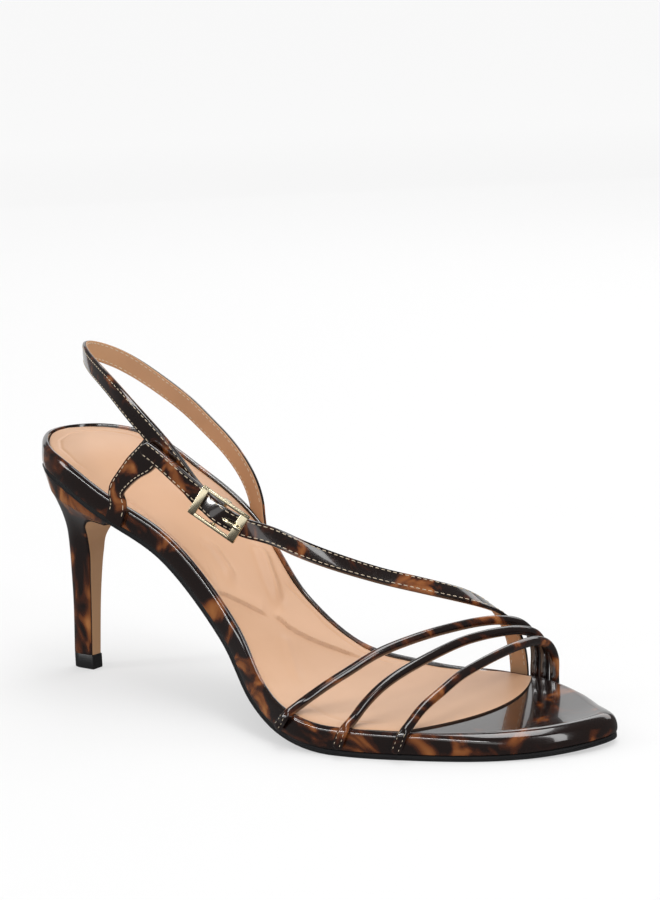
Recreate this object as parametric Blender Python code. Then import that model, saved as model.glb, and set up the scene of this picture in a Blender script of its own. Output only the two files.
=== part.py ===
"""Heeled sling-back sandal for the right foot, built from its real pieces.

Run with: blender --background --python part.py

The toe points along +X, the inner (medial) side of the foot is +Y, the outer (lateral) side is -Y and
the floor is z = 0. Lengths are metres. The shoe is drawn from the back of its sock, and an empty moves
it so that the origin lies on the floor under the middle of the whole shoe.
"""
import math

import bmesh
import bpy
import numpy as np
from mathutils import Vector

# Driving dimensions of the last
SOCK_LENGTH = 0.2243
BALL_WIDTH = 0.0777
SEAT_HEIGHT = 0.0755

# Sole stack
GAP = 0.0003
RIM = 0.0022
OUTSOLE_THICK = 0.0019
OUTSOLE_INSET = 0.0004
PLATFORM_THICK = 0.0072
INSOLE_THICK = 0.0010
SHOULDER = 0.0016
PAD_RISE = 0.0005
SOCK_INSET = 0.0002
RIM_INSIDE = 0.0002
SOCK_FRONT = 0.0105

# Heel
CAP_HEIGHT = 0.0050
CAP_MARGIN = 0.0
COVER_THICK = 0.0006
COVER_MARGIN = 0.0004

# Straps
STRAP_WIDTH = 0.0068
STRAP_THICK = 0.0015
TUBE_RADIUS = 0.0016
WALL_FOOT = 0.0006

# Buckle
BUCKLE_LENGTH = 0.0186
BUCKLE_WIDTH = 0.0108
RAIL_WIDTH = 0.0013
BACK_BAR = 0.0018
FRONT_BAR = 0.0030
FRAME_THICK = 0.0012
FRAME_LIFT = 0.0016
BAR_RADIUS = 0.0006
EYE_WALL = 0.0008
PRONG_RADIUS = 0.0005
BUCKLE_HEADING = math.radians(19.0)
BUCKLE_FALL = math.radians(34.0)
BUCKLE_FACING = math.radians(-67.5)
BUCKLE_TILT = math.radians(5.0)

STATIONS = 30


def table(names, *rows):
    """Rows of numbers as named columns."""
    return {name: np.array(column, float) for name, column in zip(names.split(), zip(*rows))}


# Plan outline of the sock's edge: shares of the sock length and of the ball width
OUTLINE = table(
    "along lateral medial",
    (0.00, -0.05, 0.05),
    (0.03, 0.12, 0.225),
    (0.09, 0.290, 0.307),
    (0.18, 0.297, 0.339),
    (0.30, 0.262, 0.283),
    (0.42, 0.298, 0.194),
    (0.52, 0.462, 0.225),
    (0.62, 0.574, 0.351),
    (0.71, 0.556, 0.440),
    (0.80, 0.472, 0.443),
    (0.89, 0.344, 0.352),
    (0.96, 0.170, 0.212),
    (1.00, -0.094, 0.094),
)

# Underside of the outsole seen from the side: shares of the sock length and of the seat height
UNDERSIDE = table(
    "along rise",
    (-0.02, 1.000),
    (0.00, 0.998),
    (0.09, 0.960),
    (0.184, 0.821),
    (0.30, 0.640),
    (0.416, 0.330),
    (0.523, 0.1115),
    (0.614, 0.029),
    (0.69, 0.0),
    (0.87, 0.0),
    (0.94, 0.003),
    (1.02, 0.024),
)

# Top of the platform's rim and of the bed inside it: shares of the sock length and platform thickness
PLATFORM = table(
    "along rim bed",
    (0.00, 1.000, 0.720),
    (0.60, 1.000, 0.720),
    (0.70, 0.985, 0.800),
    (0.77, 0.940, 0.895),
    (0.84, 0.915, 0.910),
    (1.00, 0.915, 0.910),
)

# Sections of the heel from the cap to the seat. back and front are shares of the sock length, half is a
# share of the ball width, and the two rises are shares of the seat height at the back and the front.
# middle is how far the section's middle lies to the inner side, as a share of the ball width.
HEEL = table(
    "back front half middle rise_back rise_front",
    (0.0309, 0.0724, 0.0330, -0.025, (CAP_HEIGHT + GAP) / SEAT_HEIGHT, (CAP_HEIGHT + GAP) / SEAT_HEIGHT),
    (0.0347, 0.0777, 0.0364, -0.024, 0.30, 0.30),
    (0.0349, 0.0814, 0.0433, -0.022, 0.45, 0.45),
    (0.0340, 0.0848, 0.0517, -0.019, 0.57, 0.56),
    (0.0325, 0.0871, 0.0710, -0.015, 0.665, 0.645),
    (0.0315, 0.0990, 0.1250, -0.008, 0.760, 0.715),
    (0.0282, 0.1330, 0.2050, 0.0, 0.855, 0.765),
    (0.0181, 0.1800, 0.2650, 0.004, 0.925, 0.772),
)
HEEL_SEAT = table("back front half middle", (0.004, 0.222, 0.290, 0.005))

# Straps: shares of the sock length, ball width and seat height. facing and tilt are the way that the
# strap's outer face looks, in degrees round from the toe and up from the level.
INSTEP_STRAP = table(
    "along side rise facing tilt",
    (0.490, -0.196, 0.802, -60, 20),
    (0.523, -0.129, 0.737, -56, 27),
    (0.557, -0.053, 0.680, -54, 36),
    (0.614, 0.075, 0.603, -50, 48),
    (0.660, 0.180, 0.549, -46, 56),
    (0.705, 0.288, 0.496, -35, 66),
    (0.727, 0.345, 0.459, -5, 76),
    (0.742, 0.405, 0.408, 60, 66),
    (0.751, 0.452, 0.333, 80, 35),
    (0.7555, 0.486, 0.240, 88, 12),
)
INSTEP_TAIL = table(
    "along side rise facing tilt",
    (0.291, -0.376, 1.168, -90, 2),
    (0.320, -0.376, 1.108, -88, 3),
    (0.352, -0.372, 1.040, -84, 4),
)
SLING = table(
    "along side rise facing tilt",
    (0.350, -0.340, 1.132, -87, 5),
    (0.310, -0.345, 1.244, -92, 4),
    (0.271, -0.335, 1.332, -98, 3),
    (0.226, -0.288, 1.404, -112, 2),
    (0.174, -0.205, 1.450, -122, 0),
    (0.122, -0.105, 1.480, -128, 0),
    (0.080, 0.000, 1.500, -142, 0),
    (0.058, 0.095, 1.495, -168, 0),
    (0.053, 0.190, 1.468, 172, 0),
    (0.063, 0.265, 1.432, 142, 0),
    (0.088, 0.316, 1.378, 112, 0),
    (0.126, 0.338, 1.310, 98, 0),
    (0.185, 0.345, 1.210, 91, 0),
    (0.223, 0.338, 1.130, 87, 0),
    (0.264, 0.327, 1.048, 84, 0),
    (0.304, 0.314, 0.928, 80, 0),
    (0.321, 0.306, 0.840, 80, 0),
)
SLING_FOOT = 0.3005
UPRIGHT = table(
    "along side rise facing tilt width",
    (0.318, -0.343, 1.185, -90, 3, 1.30),
    (0.300, -0.345, 1.125, -90, 3, 1.45),
    (0.278, -0.346, 1.082, -90, 3, 1.25),
    (0.254, -0.345, 1.020, -90, 2, 1.00),
    (0.234, -0.340, 0.955, -90, 0, 0.92),
)
UPRIGHT_FOOT = 0.2150
INSTEP_FOOT = 0.7574

# The three round toe straps from the outer to the inner wall: shares as above
TOE_STRAPS = {
    "toe_strap_rear": (0.594, 0.7814, table(
        "along side rise",
        (0.605, -0.600, 0.176),
        (0.616, -0.530, 0.214),
        (0.646, -0.351, 0.281),
        (0.673, -0.188, 0.337),
        (0.703, -0.007, 0.377),
        (0.725, 0.123, 0.392),
        (0.747, 0.254, 0.397),
        (0.762, 0.345, 0.388),
        (0.774, 0.435, 0.358),
        (0.781, 0.488, 0.300),
        (0.783, 0.510, 0.220),
    )),
    "toe_strap_middle": (0.6975, 0.7985, table(
        "along side rise",
        (0.704, -0.578, 0.152),
        (0.711, -0.515, 0.192),
        (0.728, -0.394, 0.254),
        (0.746, -0.184, 0.325),
        (0.765, 0.028, 0.366),
        (0.775, 0.135, 0.372),
        (0.784, 0.245, 0.367),
        (0.7925, 0.358, 0.351),
        (0.7985, 0.457, 0.308),
        (0.801, 0.503, 0.225),
    )),
    "toe_strap_front": (0.7807, 0.8166, table(
        "along side rise",
        (0.795, -0.512, 0.142),
        (0.800, -0.415, 0.196),
        (0.806, -0.291, 0.246),
        (0.809, -0.162, 0.282),
        (0.813, -0.031, 0.304),
        (0.816, 0.101, 0.317),
        (0.819, 0.234, 0.323),
        (0.8205, 0.369, 0.311),
        (0.821, 0.446, 0.273),
        (0.821, 0.488, 0.205),
    )),
}


def slopes(xs, ys, level):
    """Tangents of a smooth curve through points. A level curve never swings past its points."""
    steps = np.diff(xs)
    chords = np.diff(ys) / steps
    inner = (chords[:-1] * steps[1:] + chords[1:] * steps[:-1]) / (steps[:-1] + steps[1:])
    if level:
        limit = 2.0 * np.minimum(np.abs(chords[:-1]), np.abs(chords[1:]))
        turning = chords[:-1] * chords[1:] <= 0.0
        inner = np.where(turning, 0.0, np.clip(inner, -limit, limit))
    return np.concatenate([[chords[0]], inner, [chords[-1]]])


def smooth(x, xs, ys, level=False):
    """Value at x of the smooth curve through the points."""
    tangents = slopes(xs, ys, level)
    k = int(np.clip(np.searchsorted(xs, x) - 1, 0, len(xs) - 2))
    span = xs[k + 1] - xs[k]
    t = (x - xs[k]) / span
    if t < 0.0 or t > 1.0:
        end = k + int(t > 1.0)
        return float(ys[end] + tangents[end] * (x - xs[end]))
    rise = ys[k] * (1 + 2 * t) * (1 - t) ** 2 + ys[k + 1] * t * t * (3 - 2 * t)
    return float(rise + span * (tangents[k] * t * (1 - t) ** 2 + tangents[k + 1] * t * t * (t - 1)))


def turn_of(share):
    """Angle share of a place along the sole, even round the blunt ends."""
    return math.acos(1.0 - 2.0 * min(max(share, 0.0), 1.0)) / math.pi


def outline_point(turn):
    """Point of the sock's outline. 0 is the heel's back, 1 the toe, 2 the heel again."""
    turn = turn % 2.0
    lateral = turn <= 1.0
    half_turn = turn if lateral else 2.0 - turn
    share = (1.0 - math.cos(math.pi * half_turn)) / 2.0
    turns = np.array([turn_of(value) for value in OUTLINE["along"]])
    side = smooth(half_turn, turns, OUTLINE["lateral" if lateral else "medial"])
    return np.array([share * SOCK_LENGTH, side * BALL_WIDTH * (-1.0 if lateral else 1.0)])


def edge_point(turn, out):
    """Point at a distance outside the sock's outline."""
    step = 0.012
    along = outline_point(turn + step) - outline_point(turn - step)
    along /= np.linalg.norm(along)
    return outline_point(turn) + out * np.array([along[1], -along[0]])


def underside(x):
    return smooth(x / SOCK_LENGTH, UNDERSIDE["along"], UNDERSIDE["rise"], level=True) * SEAT_HEIGHT


def above_underside(x, y, height):
    """Point at a height over the underside, measured square to it."""
    step = 0.002
    fall = math.atan2(underside(x - step) - underside(x + step), 2.0 * step)
    return Vector((x + height * math.sin(fall), y, underside(x) + height * math.cos(fall)))


def wall_point(share, side, out, height):
    """Point beside the sole's edge. side is -1 for the outer side of the foot and 1 for the inner."""
    turn = turn_of(share) if side < 0 else 2.0 - turn_of(share)
    x, y = edge_point(turn, out)
    return above_underside(x, y, height)


def wall_normal(share, side):
    turn = turn_of(share) if side < 0 else 2.0 - turn_of(share)
    near = edge_point(turn, 0.0)
    far = edge_point(turn, 0.001)
    return Vector((far[0] - near[0], far[1] - near[1], 0.0)).normalized()


def make_material(name, colour, roughness, metallic=0.0):
    material = bpy.data.materials.new(name)
    material.use_nodes = True
    shader = material.node_tree.nodes["Principled BSDF"]
    shader.inputs["Base Color"].default_value = (*colour, 1.0)
    shader.inputs["Roughness"].default_value = roughness
    shader.inputs["Metallic"].default_value = metallic
    return material


def make_object(name, points, faces, material, parent):
    """Closed mesh object with its faces turned outwards."""
    mesh = bpy.data.meshes.new(name)
    mesh.from_pydata([tuple(point) for point in points], [], faces)
    shape = bmesh.new()
    shape.from_mesh(mesh)
    bmesh.ops.recalc_face_normals(shape, faces=shape.faces)
    shape.to_mesh(mesh)
    shape.free()
    mesh.shade_smooth()
    mesh.set_sharp_from_angle(angle=math.radians(40.0))
    mesh.materials.append(material)
    piece = bpy.data.objects.new(name, mesh)
    bpy.context.scene.collection.objects.link(piece)
    piece.parent = parent
    return piece


def ring_faces(count, rings, start=0):
    """Quads between successive closed rings of the same count."""
    faces = []
    for ring in range(rings - 1):
        for k in range(count):
            here = start + ring * count + k
            beside = start + ring * count + (k + 1) % count
            faces.append((here, beside, beside + count, here + count))
    return faces


def strip_cap(count, start):
    """Cap across a sole-shaped ring, joining its two sides station by station."""
    half = count // 2
    faces = [(start, start + 1, start + count - 1)]
    for k in range(1, half - 1):
        faces.append((start + k, start + k + 1, start + count - k - 1, start + count - k))
    faces.append((start + half - 1, start + half, start + half + 1))
    return faces


def sole_sheet(name, profile_at, material, parent):
    """Sheet of the sole. A station's profile is its distances outside the sock and heights, bottom to top."""
    count = 2 * STATIONS
    rings = []
    for k in range(count):
        turn = k / STATIONS
        share = (1.0 - math.cos(math.pi * turn)) / 2.0
        column = []
        for out, height in profile_at(share):
            x, y = edge_point(turn, out)
            column.append(above_underside(x, y, height))
        rings.append(column)
    levels = len(rings[0])
    points = [rings[k][level] for level in range(levels) for k in range(count)]
    faces = ring_faces(count, levels)
    faces += strip_cap(count, 0)
    faces += strip_cap(count, (levels - 1) * count)
    return make_object(name, points, faces, material, parent)


def make_outsole(material, parent):
    out = RIM - OUTSOLE_INSET
    profile = [(out - 0.0003, 0.0), (out, 0.0004), (out, OUTSOLE_THICK)]
    return sole_sheet("outsole", lambda share: profile, material, parent)


def platform_level(share, name):
    """Height of the platform's rim or bed above the outsole's underside."""
    part = smooth(share, PLATFORM["along"], PLATFORM[name], level=True)
    return OUTSOLE_THICK + GAP + part * PLATFORM_THICK


def platform_profile(share):
    """An upright wall, a rounded shoulder, the rim's top and the bed that it stands round."""
    low = OUTSOLE_THICK + GAP
    rim = platform_level(share, "rim")
    bed = platform_level(share, "bed")
    profile = [(RIM - 0.0005, low), (RIM, low + 0.0007), (RIM, rim - SHOULDER)]
    for degrees in (35.0, 65.0, 90.0):
        angle = math.radians(degrees)
        profile.append((RIM - SHOULDER * (1.0 - math.cos(angle)), rim - SHOULDER * (1.0 - math.sin(angle))))
    profile.append((RIM_INSIDE, rim + 0.25 * (bed - rim)))
    profile.append((RIM_INSIDE - 0.0001, bed))
    return profile


def make_platform(material, parent):
    """Board with its patent cover, which stands up round the sock as a rim."""
    return sole_sheet("platform", platform_profile, material, parent)


def make_insole(material, parent):
    """Padded sock inside the rim, rounded off behind the toe straps."""
    rows, columns = 26, 8
    last = turn_of(0.79)
    points = []
    for level in (0, 1):
        for row in range(rows + 1):
            turn = 0.05 + (last - 0.05) * row / rows
            lateral = edge_point(turn, -SOCK_INSET)
            medial = edge_point(2.0 - turn, -SOCK_INSET)
            for column in range(columns + 1):
                across = 2.0 * column / columns - 1.0
                x, y = lateral + (medial - lateral) * (across + 1.0) / 2.0
                reach = max(0.0, (row - rows + 6) / 6.0)
                x += SOCK_FRONT * reach ** 2 * (1.0 - across ** 2)
                rise = INSOLE_THICK + PAD_RISE * (1.0 - abs(across) ** 2.5)
                bed = platform_level(x / SOCK_LENGTH, "bed") + GAP
                points.append(above_underside(x, y, bed + level * rise))
    return grid_solid("insole", points, rows + 1, columns + 1, material, parent)


def grid_solid(name, points, rows, columns, material, parent):
    """Closed sheet from two grids of points, the lower and the upper."""
    layer = rows * columns
    faces = []
    for row in range(rows - 1):
        for column in range(columns - 1):
            a = row * columns + column
            faces.append((a, a + 1, a + columns + 1, a + columns))
            faces.append((layer + a, layer + a + columns, layer + a + columns + 1, layer + a + 1))
    rim = [column for column in range(columns)]
    rim += [row * columns + columns - 1 for row in range(1, rows)]
    rim += [(rows - 1) * columns + column for column in range(columns - 2, -1, -1)]
    rim += [row * columns for row in range(rows - 2, 0, -1)]
    for here, beside in zip(rim, rim[1:] + rim[:1]):
        faces.append((here, beside, layer + beside, layer + here))
    return make_object(name, points, faces, material, parent)


def heel_ring(back, front, half, middle, height_at):
    """D-shaped ring: a half ellipse at the back and straight sides to a flat front."""
    depth = min(0.62 * (front - back), half * 1.05 + 0.3 * (front - back) * 0.5)
    ring = []
    for step in range(17):
        angle = math.pi * (step / 16.0 - 0.5)
        ring.append((back + depth * (1.0 - math.cos(angle)), half * math.sin(angle)))
    shoulder = (back + depth + front) / 2.0
    ring += [(shoulder, half), (front, half), (front, half / 2.0), (front, 0.0)]
    ring += [(front, -half / 2.0), (front, -half), (shoulder, -half)]
    return [Vector((x, y + middle, height_at(x))) for x, y in ring]


def heel_rows():
    """Back, front, half width, middle and the two heights of each heel section, in metres."""
    rows = []
    for back, front, half, middle, low_back, low_front in zip(*(HEEL[name] for name in HEEL)):
        rows.append((back * SOCK_LENGTH, front * SOCK_LENGTH, half * BALL_WIDTH, middle * BALL_WIDTH,
                     low_back * SEAT_HEIGHT, low_front * SEAT_HEIGHT))
    return rows


def make_heel(material, parent):
    points = []
    for back, front, half, middle, z_back, z_front in heel_rows():
        lean = (z_front - z_back) / (front - back)
        points += heel_ring(back, front, half, middle, lambda x: z_back + lean * (x - back))
    back, front, half, middle = [HEEL_SEAT[name][0] for name in ("back", "front", "half", "middle")]
    points += heel_ring(back * SOCK_LENGTH, front * SOCK_LENGTH, half * BALL_WIDTH, middle * BALL_WIDTH,
                        lambda x: above_underside(x, 0.0, -GAP * 1.5).z)
    count = len(points) // (len(HEEL["back"]) + 1)
    rings = len(points) // count
    faces = ring_faces(count, rings)
    faces.append(tuple(range(count)))
    faces += d_cap(count, (rings - 1) * count)
    return make_object("heel", points, faces, material, parent)


def d_cap(count, start):
    """Cap of a D-shaped ring in strips across it, so that it can follow the curved seat."""
    faces = []
    left, right = 8, 8
    while (right + 1) - (left - 1) < count - 1:
        a, b = left - 1, right + 1
        if left == right:
            faces.append((start + left, start + b, start + a % count))
        else:
            faces.append((start + left % count, start + right, start + b, start + a % count))
        left, right = a, b
    if (right + 1) % count != left % count:
        faces.append(tuple(start + k % count for k in range(right, left + count + 1)))
    return faces


def make_heel_breast(material, parent):
    """Thin cover on the heel's front face, following the face up and forward under the sole."""
    rows = heel_rows()
    profile = [(front, z_front, half, middle) for _, front, half, middle, _, z_front in rows]
    seat_front = HEEL_SEAT["front"][0] * SOCK_LENGTH
    points = []
    for level in (0, 1):
        for k, (x, z, half, middle) in enumerate(profile):
            before = profile[max(k - 1, 0)]
            after = profile[k + 1] if k + 1 < len(profile) else (seat_front, underside(seat_front))
            along = Vector((after[0] - before[0], 0.0, after[1] - before[1])).normalized()
            normal = Vector((along.z, 0.0, -along.x))
            centre = Vector((x, middle, z)) + normal * (GAP + level * COVER_THICK)
            reach = half - COVER_MARGIN
            for column in range(5):
                points.append(centre + Vector((0.0, reach * (column / 2.0 - 1.0), 0.0)))
    return grid_solid("heel_breast", points, len(profile), 5, material, parent)


def make_heel_cap(material, parent):
    back, front, half, middle, z_top, _ = heel_rows()[0]
    bottom = heel_ring(back, front, half, middle, lambda x: 0.0)
    front_top = front + GAP + COVER_THICK
    top = heel_ring(back - CAP_MARGIN, front_top, half + CAP_MARGIN, middle, lambda x: z_top - GAP)
    count = len(bottom)
    faces = ring_faces(count, 2) + [tuple(range(count)), tuple(range(count, 2 * count))]
    return make_object("heel_cap", bottom + top, faces, material, parent)


def direction(facing, tilt):
    return Vector((math.cos(tilt) * math.cos(facing), math.cos(tilt) * math.sin(facing), math.sin(tilt)))


def strap_rows(rows):
    """Centre, outer direction and width of each row of a strap table."""
    result = []
    widths = rows.get("width", np.ones(len(rows["along"])))
    facings = rows.get("facing", np.zeros(len(rows["along"])))
    tilts = rows.get("tilt", np.zeros(len(rows["along"])))
    for k in range(len(rows["along"])):
        centre = Vector((rows["along"][k] * SOCK_LENGTH, rows["side"][k] * BALL_WIDTH,
                         rows["rise"][k] * SEAT_HEIGHT))
        outer = direction(math.radians(facings[k]), math.radians(tilts[k]))
        result.append((centre, outer, widths[k] * STRAP_WIDTH))
    return result


def smooth_path(rows, count):
    """Resamples rows of centre, outer direction and width evenly along a smooth curve."""
    values = np.array([[*centre, *outer, width] for centre, outer, width in rows])
    legs = np.linalg.norm(np.diff(values[:, :3], axis=0), axis=1)
    places = np.concatenate([[0.0], np.cumsum(np.sqrt(legs))])
    lengths = np.concatenate([[0.0], np.cumsum(legs)])
    result = []
    for k in range(count + 1):
        place = float(np.interp(lengths[-1] * k / count, lengths, places))
        column = [smooth(place, places, values[:, c]) for c in range(7)]
        result.append((Vector(column[0:3]), Vector(column[3:6]).normalized(), column[6]))
    return result


def section_frames(path):
    """Adds the width direction to each row of a path."""
    frames = []
    for k, (centre, outer, width) in enumerate(path):
        before = path[max(k - 1, 0)][0]
        after = path[min(k + 1, len(path) - 1)][0]
        along = (after - before).normalized()
        face = (outer - along * outer.dot(along)).normalized()
        frames.append((centre, face, along.cross(face).normalized(), width))
    return frames


def strap_section(width, thick):
    """Flat strap section with softened corners: across and outward distances."""
    soft = 0.3 * thick
    half, depth = width / 2.0, thick / 2.0
    return [(-half, -depth + soft), (-half + soft, -depth), (half - soft, -depth), (half, -depth + soft),
            (half, depth - soft), (half - soft, depth), (-half + soft, depth), (-half, depth - soft)]


def sweep(name, path, section_of, material, parent, seat=None):
    """Solid along a path. A seat is a point and a normal: the last section is slid into that plane."""
    points = []
    for centre, face, across, width in section_frames(path):
        for side, out in section_of(width):
            points.append(centre + across * side + face * out)
    count = len(section_of(path[0][2]))
    if seat:
        along = (path[-1][0] - path[-2][0]).normalized()
        for k in range(len(points) - count, len(points)):
            points[k] = points[k] + along * ((seat[0] - points[k]).dot(seat[1]) / along.dot(seat[1]))
    rings = len(path)
    faces = ring_faces(count, rings)
    faces.append(tuple(range(count)))
    faces.append(tuple((rings - 1) * count + k for k in range(count)))
    return make_object(name, points, faces, material, parent)


def flat_section(width):
    return strap_section(width, STRAP_THICK)


def tube_section(width):
    sides = 8
    return [(TUBE_RADIUS * math.cos(2.0 * math.pi * k / sides), TUBE_RADIUS * math.sin(2.0 * math.pi * k / sides))
            for k in range(sides)]


def wall_rows(share, side, half_thick, width, heights):
    """Rows of a strap's end that hugs the platform's wall."""
    outer = wall_normal(share, side)
    low = OUTSOLE_THICK + GAP + WALL_FOOT
    return [(wall_point(share, side, RIM + GAP + half_thick, low + height), outer, width) for height in heights]


def make_toe_strap(name, material, parent):
    lateral, medial, rows = TOE_STRAPS[name]
    level = PLATFORM_THICK
    path = wall_rows(lateral, -1, TUBE_RADIUS, STRAP_WIDTH, (0.0, 0.45 * level, 0.8 * level))
    path += strap_rows(rows)
    path += wall_rows(medial, 1, TUBE_RADIUS, STRAP_WIDTH, (0.95 * level, 0.5 * level, 0.0))
    # A round tube needs a steady direction that never lies along it
    path = [(centre, Vector((1.0, 0.0, 0.0)), width) for centre, _, width in path]
    return sweep(name, smooth_path(path, 44), tube_section, material, parent)


def buckle_frame_axes():
    """Origin at the centre bar, then along the strap, across it and out of it."""
    origin = Vector((0.4235 * SOCK_LENGTH, -0.2986 * BALL_WIDTH, 0.900 * SEAT_HEIGHT))
    along = Vector((math.cos(BUCKLE_FALL) * math.cos(BUCKLE_HEADING),
                    math.cos(BUCKLE_FALL) * math.sin(BUCKLE_HEADING), -math.sin(BUCKLE_FALL)))
    outer = direction(BUCKLE_FACING, BUCKLE_TILT)
    outer = (outer - along * outer.dot(along)).normalized()
    return origin, along, outer.cross(along).normalized(), outer


def buckle_place(u, v, w):
    origin, along, across, outer = buckle_frame_axes()
    return origin + along * u + across * v + outer * w


def buckle_rows(places):
    outer = buckle_frame_axes()[3]
    return [(buckle_place(u, 0.0, w), outer, STRAP_WIDTH) for u, w in places]


def block(name, corners, material, parent):
    """Box-like solid from eight corners given as two rings of four."""
    faces = ring_faces(4, 2) + [(0, 1, 2, 3), (4, 5, 6, 7)]
    return make_object(name, corners, faces, material, parent)


def buckle_prism(name, outline, v_low, v_high, material, parent):
    """Outline in the along and outward directions, extruded across the strap."""
    count = len(outline)
    points = [buckle_place(u, v, w) for v in (v_low, v_high) for u, w in outline]
    faces = ring_faces(count, 2) + [tuple(range(count)), tuple(range(count, 2 * count))]
    return make_object(name, points, faces, material, parent)


def circle(radius, sides, u=0.0, w=0.0):
    return [(u + radius * math.cos(2.0 * math.pi * k / sides), w + radius * math.sin(2.0 * math.pi * k / sides))
            for k in range(sides)]


def rectangle(u_low, u_high, w_low, w_high):
    return [(u_low, w_low), (u_high, w_low), (u_high, w_high), (u_low, w_high)]


def combine(target, tool, operation):
    """Adds a Boolean modifier and hides its tool."""
    modifier = target.modifiers.new(operation.lower() + "_" + tool.name, "BOOLEAN")
    modifier.object = tool
    modifier.operation = operation
    tool.hide_render = True
    tool.display_type = "WIRE"


def strap_levels():
    """Outward places of the strap under the side bars, over the eye, and of the short strap under both."""
    under_bar = FRAME_LIFT - FRAME_THICK / 2.0 - GAP - STRAP_THICK / 2.0
    eye_radius = BAR_RADIUS + GAP + EYE_WALL
    over_eye = eye_radius + GAP + STRAP_THICK / 2.0
    beneath = under_bar - STRAP_THICK - GAP
    return under_bar, over_eye, beneath, eye_radius


def make_instep_strap(material, parent):
    """Flat strap from its tail, through the buckle and over the instep to the inner wall."""
    under_bar, over_eye, _, _ = strap_levels()
    back = -BUCKLE_LENGTH / 2.0 + BACK_BAR / 2.0
    front = BUCKLE_LENGTH / 2.0 - FRONT_BAR / 2.0
    hump = 0.0018
    through = [(back - 0.0030, under_bar), (back, under_bar), (-hump * 2.0, over_eye * 0.62),
               (-hump * 0.6, over_eye), (hump * 0.6, over_eye), (hump * 2.0, over_eye * 0.62),
               (front - 0.0012, under_bar), (front + 0.0022, under_bar)]
    path = strap_rows(INSTEP_TAIL) + buckle_rows(through) + strap_rows(INSTEP_STRAP)
    level = PLATFORM_THICK
    path += wall_rows(INSTEP_FOOT, 1, STRAP_THICK / 2.0, STRAP_WIDTH, (0.95 * level, 0.5 * level, 0.0))
    strap = sweep("instep_strap", smooth_path(path, 84), flat_section, material, parent)
    slot = buckle_prism("prong_slot", rectangle(0.0006, 0.0040, -0.002, 0.006),
                        -PRONG_RADIUS - 0.0004, PRONG_RADIUS + 0.0004, material, parent)
    combine(strap, slot, "DIFFERENCE")
    return strap


def make_heel_sling(material, parent):
    """Strap round the heel, its short front end with the buckle's eye, and the upright at the outer side."""
    _, _, beneath, eye_radius = strap_levels()
    back = -BUCKLE_LENGTH / 2.0 + BACK_BAR / 2.0
    seat = eye_radius - STRAP_THICK / 2.0
    front_end = buckle_rows([(0.0, -seat), (-0.0025, -seat - 0.0001), (back, beneath),
                             (back - 0.0030, beneath - 0.0002)])
    path = front_end + strap_rows(SLING)
    rim = platform_level(SLING_FOOT, "rim")
    foot = wall_point(SLING_FOOT, 1, RIM * 0.6, rim + GAP)
    lifted = wall_point(SLING_FOOT, 1, RIM * 0.6, rim + 2.0 * GAP)
    path.append((foot, wall_normal(SLING_FOOT, 1), STRAP_WIDTH))
    seat = (foot, (lifted - foot).normalized())
    sling = sweep("heel_sling", smooth_path(path, 80), flat_section, material, parent, seat)

    level = PLATFORM_THICK
    foot = wall_rows(UPRIGHT_FOOT, -1, STRAP_THICK / 2.0, STRAP_WIDTH, (0.95 * level, 0.5 * level, 0.0))
    upright = sweep("upright_tool", smooth_path(strap_rows(UPRIGHT) + foot, 18), flat_section, material, parent)
    combine(sling, upright, "UNION")

    eye = buckle_prism("eye_tool", circle(eye_radius, 14), -STRAP_WIDTH / 2.0 + 0.0002,
                       STRAP_WIDTH / 2.0 - 0.0002, material, parent)
    combine(sling, eye, "UNION")
    bore = buckle_prism("bore_tool", circle(BAR_RADIUS + GAP, 12), -STRAP_WIDTH, STRAP_WIDTH, material, parent)
    combine(sling, bore, "DIFFERENCE")
    notch = buckle_prism("notch_tool", rectangle(-0.0023, 0.0030, -0.0030, 0.0030),
                         -PRONG_RADIUS - 0.0005, PRONG_RADIUS + 0.0005, material, parent)
    combine(sling, notch, "DIFFERENCE")
    return sling


def make_buckle_frame(material, parent):
    """Two rails with lugs down to the centre bar, a narrow back bar and a broad front bar."""
    half_length = BUCKLE_LENGTH / 2.0
    half_width = BUCKLE_WIDTH / 2.0
    low = FRAME_LIFT - FRAME_THICK / 2.0
    high = FRAME_LIFT + FRAME_THICK / 2.0
    lug = 0.0012
    outer = [(-half_length, low), (-lug * 2.0, low), (-lug, -BAR_RADIUS), (lug, -BAR_RADIUS),
             (lug * 2.0, low), (half_length, low), (half_length, high), (-half_length, high)]
    frame = buckle_prism("buckle_frame", outer, -half_width, half_width, material, parent)
    inner = half_width - RAIL_WIDTH
    window = buckle_prism("window_tool",
                          rectangle(-half_length + BACK_BAR, half_length - FRONT_BAR, -0.01, 0.01),
                          -inner, inner, material, parent)
    combine(frame, window, "DIFFERENCE")
    bar = buckle_prism("bar_tool", circle(BAR_RADIUS, 10), -half_width + RAIL_WIDTH / 2.0,
                       half_width - RAIL_WIDTH / 2.0, material, parent)
    combine(frame, bar, "UNION")
    return frame


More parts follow.
